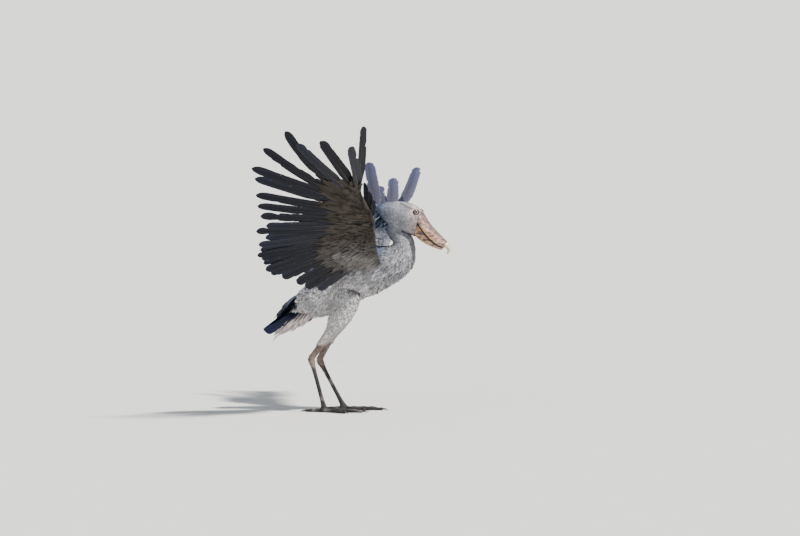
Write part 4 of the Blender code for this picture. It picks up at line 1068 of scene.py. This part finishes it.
# Rows under the tail: distance back, depth below it, half spread, length, feathers, fall
UNDERTAIL = ((0.034, 0.012, 0.036, 0.145, 17, 8), (0.026, 0.018, 0.040, 0.128, 17, 11),
             (0.014, 0.024, 0.042, 0.112, 17, 14), (-0.006, 0.030, 0.046, 0.100, 17, 16),
             (-0.024, 0.036, 0.050, 0.088, 17, 18), (-0.042, 0.042, 0.052, 0.078, 17, 18))
UPPERTAIL = ((0.020, -0.022, 0.034, 0.100, 15, 5), (0.000, -0.030, 0.044, 0.090, 15, 9),
             (-0.020, -0.038, 0.052, 0.080, 15, 13))
# The upper coverts' dark blue-grey is painted shade under the wing
for name, rows, tint in (("undertail_coverts", UNDERTAIL, (0.60, 0.535, 0.52)),
                         ("uppertail_coverts", UPPERTAIL, (0.040, 0.046, 0.066))):
    coat = Coat(name, plumage)
    face = -1 if rows is UNDERTAIL else 1
    for tier, (back_by, drop, half, long, many, fall) in enumerate(rows):
        spread = np.linspace(-1, 1, many) + 0.05 * chance.standard_normal(many)
        spots = TAIL_ROOT + TAIL_WAY * back_by - TAIL_UP * drop + np.outer(spread * half * 0.75, (0, 1, 0))
        spots = spots + np.outer(np.abs(spread) ** 2 * 0.012 * -face, -TAIL_UP)
        down = math.radians(fall)
        way = TAIL_WAY * math.cos(down) - TAIL_UP * math.sin(down) + np.outer(spread * 0.16, (0, 1, 0))
        way = unit(way + 0.04 * chance.standard_normal((many, 3)))
        out = unit(TAIL_UP * face + np.outer(spread * 0.6, (0, 1, 0)))
        size = long * (1 - 0.10 * np.abs(spread)) * (1 + 0.07 * chance.standard_normal(many))
        points, a, b = blades(spots, way, out, size, np.full(many, 0.030), 14, 8, "round", 0.30)
        rise = out[:, None, None]
        bow = np.sin(np.pi * a * 0.9)[..., None] * rise * 0.008 - rise * (b ** 2 * 0.004)[..., None]
        color = np.array(tint) * (1 + (0.16 if face < 0 else 0.08) * chance.standard_normal((many, 1)))
        color = color * (1 + 0.5 * tier * (face > 0))
        places = np.stack([(spread + 1) / 2 * 0.9, np.full(many, 0.1 + 0.15 * tier)], 1)
        add_blades(coat, points + bow, places, color, a, b)
    fit(coat.make(), "plumage")

# Nape crest and shoulder feathers
# Loose grey plumes, dark blue as painted shade with a few pale ones, hang from the back of the head, and broad grey
# feathers lie from the shoulders over the roots of the wings.
coat = Coat("nape_crest", plumage)
CREST = ((0.214, 0.898, 0.018, 17, 0.090, 0.0100), (0.205, 0.890, 0.024, 19, 0.082, 0.0095),
         (0.207, 0.876, 0.032, 23, 0.070, 0.0090), (0.213, 0.862, 0.038, 25, 0.062, 0.0085),
         (0.224, 0.848, 0.042, 25, 0.056, 0.0080), (0.238, 0.836, 0.044, 25, 0.052, 0.0080),
         (0.226, 0.904, 0.026, 19, 0.046, 0.0075))
for tier, (x_at, z_at, half, many, long, wide) in enumerate(CREST):
    spread = np.linspace(-1, 1, many) + 0.06 * chance.standard_normal(many)
    spots = np.array((x_at, 0, z_at)) + np.outer(spread * half, (0, 1, 0)) + np.outer(spread ** 2 * half * 0.5,
                                                                                      (1, 0, 0))
    way = unit(np.array((-0.46, 0, -0.84)) + np.outer(spread * 0.22, (0, 1, 0))
               + 0.13 * chance.standard_normal((many, 3)))
    out = unit(np.array((-0.9, 0, 0.32)) + np.outer(spread * 0.9, (0, 1, 0)))
    size = long * (1 + 0.14 * chance.standard_normal(many))
    points, a, b = blades(spots, way, out, size, np.full(many, wide), 12, 5, "pointed", 0.18)
    points = points + (np.sin(np.pi * a * 0.7)[..., None] * out[:, None, None] * size[:, None, None, None] * 0.16)
    pale = (chance.random((many, 1)) > 0.72) * 1.0
    # Dark blue is painted shade on the grey plumes
    color = np.array((0.085, 0.125, 0.195)) * (1 + 0.30 * chance.standard_normal((many, 1))).clip(0.4)
    color = color * (1 - pale) + np.array((0.36, 0.42, 0.50)) * pale
    places = np.stack([(spread + 1) / 2 * 0.9, np.full(many, 0.12 * tier)], 1)
    add_blades(coat, points, places, color, a, b)
fit(coat.make(), "plumage")

coat = Coat("shoulder_feathers", plumage)
for sign in (-1, 1):
    table = wing_frame(sign)
    for face in (1, -1):
        for tier in range(7):
            many = 9
            s = np.linspace(21.0, 24.0, many) + 0.2 * chance.standard_normal(many)
            s = np.clip(s, 20, 24)
            m = np.full(many, -0.9 + 0.17 * tier)
            spots = wing_place(table, s, m, deep_at(m, s) + 0.004, face)
            toward = unit(table[5])[-1] * face
            way = np.array((-0.86, 0, -0.5 if face < 0 else -0.36))
            way = way + sign * np.outer(0.22 * (24 - s) / 4, (0, 1, 0))
            way = unit(way + 0.06 * chance.standard_normal((many, 3)))
            size = 0.074 * (1 + 0.12 * chance.standard_normal(many))
            points, a, b = blades(spots, way, np.broadcast_to(toward, (many, 3)), size, np.full(many, 0.026), 10,
                                  6, "round", 0.24)
            points = points + toward * (0.004 * np.sin(np.pi * a) - 0.003 * b ** 2)[..., None]
            color = np.array((0.165, 0.155, 0.150) if face < 0 else (0.24, 0.245, 0.275))
            color = color * (1 + 0.10 * chance.standard_normal((many, 1)))
            places = np.stack([s / 25, np.full(many, 0.1 * tier + (0.0 if face < 0 else 0.05))], 1)
            add_blades(coat, points, places, color, a, b)
fit(coat.make(), "plumage")

# Bill
# A heavy clog-shaped bill of horn over bone, cream and pink with violet-grey blotches. Upper and lower
# half close along a dark wavy line, and the tip ends in a polished nail that hooks down.
BILL = (((0.4027, 0.8950), (0.3890, 0.8445), (0.3725, 0.7836), 0.046),
        ((0.4288, 0.8521), (0.4120, 0.8120), (0.3950, 0.7665), 0.050),
        ((0.4563, 0.8190), (0.4380, 0.7810), (0.4225, 0.7495), 0.051),
        ((0.4949, 0.7816), (0.4725, 0.7505), (0.4610, 0.7325), 0.043),
        ((0.5200, 0.7575), (0.4990, 0.7365), (0.4890, 0.7236), 0.028))
HOOK = ((0.5050, 0.7530, 0.0120, 0.0225, -42), (0.5165, 0.7435, 0.0135, 0.0205, -46),
        (0.5235, 0.7340, 0.0112, 0.0165, -62), (0.5250, 0.7225, 0.0078, 0.0105, -95),
        (0.5195, 0.7122, 0.0045, 0.0055, -122), (0.5118, 0.7052, 0.0013, 0.0014, -132))

horn = Finish("bill_horn", 0.5, coat=0.03)
horn.shader.inputs["Specular IOR Level"].default_value = 0.3
spot = horn.place()
near_gape, near_base = horn.read("near_gape"), horn.read("near_base")
ground = horn.blend(horn.ramp(horn.noise(26, 3, spot), (0.35, 0.0), (0.65, 1.0)), (0.60, 0.37, 0.20, 1),
                    (0.50, 0.33, 0.28, 1))
blotches = horn.ramp(horn.noise(78, 5, spot, 0.65), (0.42, 0.0), (0.53, 1.0))
ground = horn.blend(horn.sum("MULTIPLY", blotches, near_base), ground, (0.085, 0.068, 0.100, 1))
streaks = horn.add("Mapping", Vector=spot, Rotation=(0, 0.78, 0), Scale=(22, 90, 120)).outputs[0]
ground = horn.blend(horn.ramp(horn.noise(1.0, 4, streaks), (0.52, 0.0), (0.60, 0.9)), ground,
                    (0.10, 0.078, 0.095, 1))
ground = horn.blend(horn.ramp(horn.read("ridge"), (0.80, 0.0), (0.97, 0.7)), ground, (0.16, 0.125, 0.13, 1))
ground = horn.blend(horn.ramp(near_gape, (0.0, 1.0), (0.045, 0.85), (0.11, 0.15), (0.2, 0.0)), ground,
                    (0.035, 0.026, 0.026, 1))
horn.color(ground)
horn.bump(horn.sum("ADD", horn.noise(1.0, 4, streaks), horn.sum("MULTIPLY", horn.noise(110, 3, spot), 0.5)), 0.25,
          0.0008)


def bill_half(name, upper, node):
    """Upper or lower half of the bill, lofted from the face to the tip."""
    count, total = 33, 48
    flat = [a + b + c + (half,) for a, b, c, half in BILL]
    rings, gape_share, base_share, ridge = [], [], [], []
    for k in range(total + 1):
        t = k / total
        x1, z1, x2, z2, x3, z3, half = along(flat, t)
        top, gape, under = np.array((x1, 0, z1)), np.array((x2, 0, z2)), np.array((x3, 0, z3))
        reach = (top - gape) if upper else (under - gape)
        long = np.linalg.norm(reach)
        power, wide = (2.4, half) if upper else (3.0, half * 0.935)
        points = []
        for j in range(count):
            angle = math.pi * j / (count - 1)
            c, s = math.cos(angle), math.sin(angle)
            across = math.copysign(abs(c) ** (2 / power), c) * wide
            rise = 0.0004 + abs(s) ** (2 / power) * (long - 0.0004)
            # Groove beside the ridge of the upper bill, and a ridge along its middle
            if upper:
                rise += 0.0030 * math.exp(-((angle - math.pi / 2) / 0.16) ** 2) * (1 - t * 0.7) - 0.0012
                groove = math.exp(-((abs(angle - math.pi / 2) - 0.42) / 0.16) ** 2)
                rise -= 0.0022 * groove * math.sin(math.pi * min(t * 1.15, 1))
                across *= 1 + 0.025 * math.sin(t * 9) * (abs(s) < 0.5)
            points.append(gape + np.array((0, across, 0)) + reach / long * rise)
            gape_share.append(rise / 0.05)
            ridge.append(rise / long)
            base_share.append((0.35 + 0.65 * abs(s)) * (1 - 0.45 * t) if upper else 0.36 * (1 - t * 0.5))
        rings.append(points if upper else points[::-1])
    if not upper:
        gape_share, ridge = ([v for r in range(total + 1) for v in part[r * count:(r + 1) * count][::-1]]
                             for part in (gape_share, ridge))
    shape = Shape()
    shape.loft(rings)
    make_piece(shape, name, horn, "bill", node, near_gape=gape_share, near_base=base_share, ridge=ridge)


bill_half("bill_upper", True, "upper_bill")
bill_half("bill_lower", False, "lower_bill")

nail = Finish("hook_nail", 0.30, coat=0.3)
spot = nail.place()
nail.color(nail.blend(nail.ramp(nail.noise(90, 4, spot), (0.45, 0.0), (0.65, 0.8)), (0.74, 0.66, 0.47, 1),
                      (0.42, 0.33, 0.27, 1)))
nail.bump(nail.noise(160, 3, spot), 0.2, 0.0005)
shape = Shape()
rows = []
for k in range(26):
    x, z, deep, wide, lean = along(HOOK, k / 25)
    tilt = math.radians(lean)
    rows.append(ring((x, 0, z), ACROSS, (-math.sin(tilt), 0, math.cos(tilt)), wide, deep, 24))
shape.loft(rows, (0.5105, 0, 0.7044))
make_piece(shape, "bill_nail", nail, "hook", "bill_hook")

# Near-black slits on each side of the bill are painted shade inside each nostril
nostril_shade_finish = Finish("nostril_slit_shade", 0.8)
nostril_shade_finish.color(nostril_shade_finish.ramp(nostril_shade_finish.noise(200, 2), (0.3, (0.02, 0.016, 0.016)),
                                   (0.7, (0.04, 0.03, 0.03))))
shape = Shape()
for sign in (-1, 1):
    way, over = np.array((0.64, 0, -0.77)), np.array((0.77, 0, 0.64))
    rows = []
    for k in range(9):
        t = k / 8 * 2 - 1
        size = 0.0004 + 0.0011 * math.sqrt(max(1 - t * t, 0))
        rows.append(ring(np.array((0.4275, sign * 0.0165, 0.8490)) + way * 0.0075 * t, (0, 1, 0), over, size, size,
                         10))
    shape.loft(rows)
make_piece(shape, "nostril_shades", nostril_shade_finish, "bill")

# Eyes and lids
# Pale grey-yellow eyes under a heavy brow, each a glossy ball with a small black pupil, set in a
# ring of dark wrinkled lids.
EYE_OUT, EYE_RADIUS = 0.0385, 0.0115
iris = Finish("eye", 0.06, coat=1.0)
turned = iris.read("from_pupil")
rays = iris.noise(700, 3)
pale = iris.blend(iris.ramp(rays, (0.3, 0.0), (0.7, 1.0)), (0.46, 0.42, 0.27, 1), (0.30, 0.28, 0.22, 1))
ringed = iris.blend(iris.ramp(turned, (0.0, 1.0), (0.32, 1.0), (0.36, 0.0), (0.58, 0.0), (0.72, 1.0)), pale,
                    (0.006, 0.006, 0.007, 1))
iris.color(ringed)

lids = Finish("lids", 0.55, coat=0.1)
lids.color(lids.blend(lids.ramp(lids.noise(300, 4), (0.4, 0.0), (0.6, 1.0)), (0.040, 0.030, 0.030, 1),
                      (0.12, 0.09, 0.085, 1)))
lids.bump(lids.noise(420, 3), 0.5, 0.0006)
for sign, label in SIDES.items():
    centre = np.array((EYE_X, EYE_OUT * sign, EYE_Z))
    out = unit(np.array((0.30, sign, 0.10)))
    shape = Shape()
    side = unit(np.cross(out, (0, 0, 1)))
    over = np.cross(side, out)
    rows, spread = [], []
    for k in range(1, 25):
        angle = math.pi * k / 25
        swell = 1 + 0.10 * math.exp(-(angle / 0.5) ** 2)
        rows.append(ring(centre + out * EYE_RADIUS * swell * math.cos(angle), side, over,
                         EYE_RADIUS * math.sin(angle), EYE_RADIUS * math.sin(angle), 32))
        spread += [min(angle / 1.15, 1.0)] * 32
    shape.loft(rows)
    make_piece(shape, label + "_eyeball", iris, "eyes", "eye_" + label, from_pupil=spread)
    shape = Shape()
    for start, end, radius, bead, lift in ((0.03, 0.97, 0.0088, 0.0036, 0.0070),
                                           (1.05, 1.95, 0.0090, 0.0026, 0.0062),
                                           (0.0, 2.0, 0.0122, 0.0028, 0.0034)):
        rows = []
        for k in range(41):
            angle = math.pi * (start + (end - start) * k / 40)
            spoke = side * math.cos(angle) + over * math.sin(angle) * 0.70
            at = centre + spoke * radius + out * lift
            thin = bead * (0.35 + 0.65 * math.sin(math.pi * k / 40) if end < 2 or start > 1 else 1)
            thin *= 1 + 0.10 * math.sin(angle * 13)
            rows.append(ring(at, unit(spoke), out, thin, thin, 10))
        shape.loft(rows)
    make_piece(shape, label + "_lids", lids, "leg_skin")

# Claws
# Blunt dark horn claws that run on from the toes, one to a toe.
claw_finish = Finish("claw_horn", 0.38, coat=0.15)
spot = claw_finish.place()
claw_finish.color(claw_finish.blend(claw_finish.ramp(claw_finish.noise(120, 4, spot), (0.4, 0.0), (0.7, 1.0)),
                                    (0.035, 0.032, 0.031, 1), (0.13, 0.11, 0.095, 1)))
claw_finish.bump(claw_finish.noise(260, 3, spot), 0.3, 0.0005)
for sign, label in SIDES.items():
    foot = FOOT[sign]
    for name, bearing, length in TOES:
        turn = math.radians(bearing) * sign
        ahead, side = np.array((math.cos(turn), math.sin(turn), 0)), np.array((-math.sin(turn), math.cos(turn), 0))
        rows = []
        for k in range(15):
            t = k / 14
            high = 0.0070 + 0.0014 * math.sin(t * 2.2) - 0.0052 * t * t
            at = np.array((foot[0], foot[1], high)) + ahead * (length - 0.004 + 0.028 * t)
            rows.append(ring(at, side, UP, 0.0045 * (1 - 0.80 * t ** 1.3), 0.0046 * (1 - 0.78 * t ** 1.2), 14))
        shape = Shape()
        shape.loft(rows, tuple(np.array((foot[0], foot[1], 0.0016)) + ahead * (length + 0.0256)))
        make_piece(shape, "%s_%s_claw" % (label, name), claw_finish, "claws", "claw_%s_%s" % (label, name))
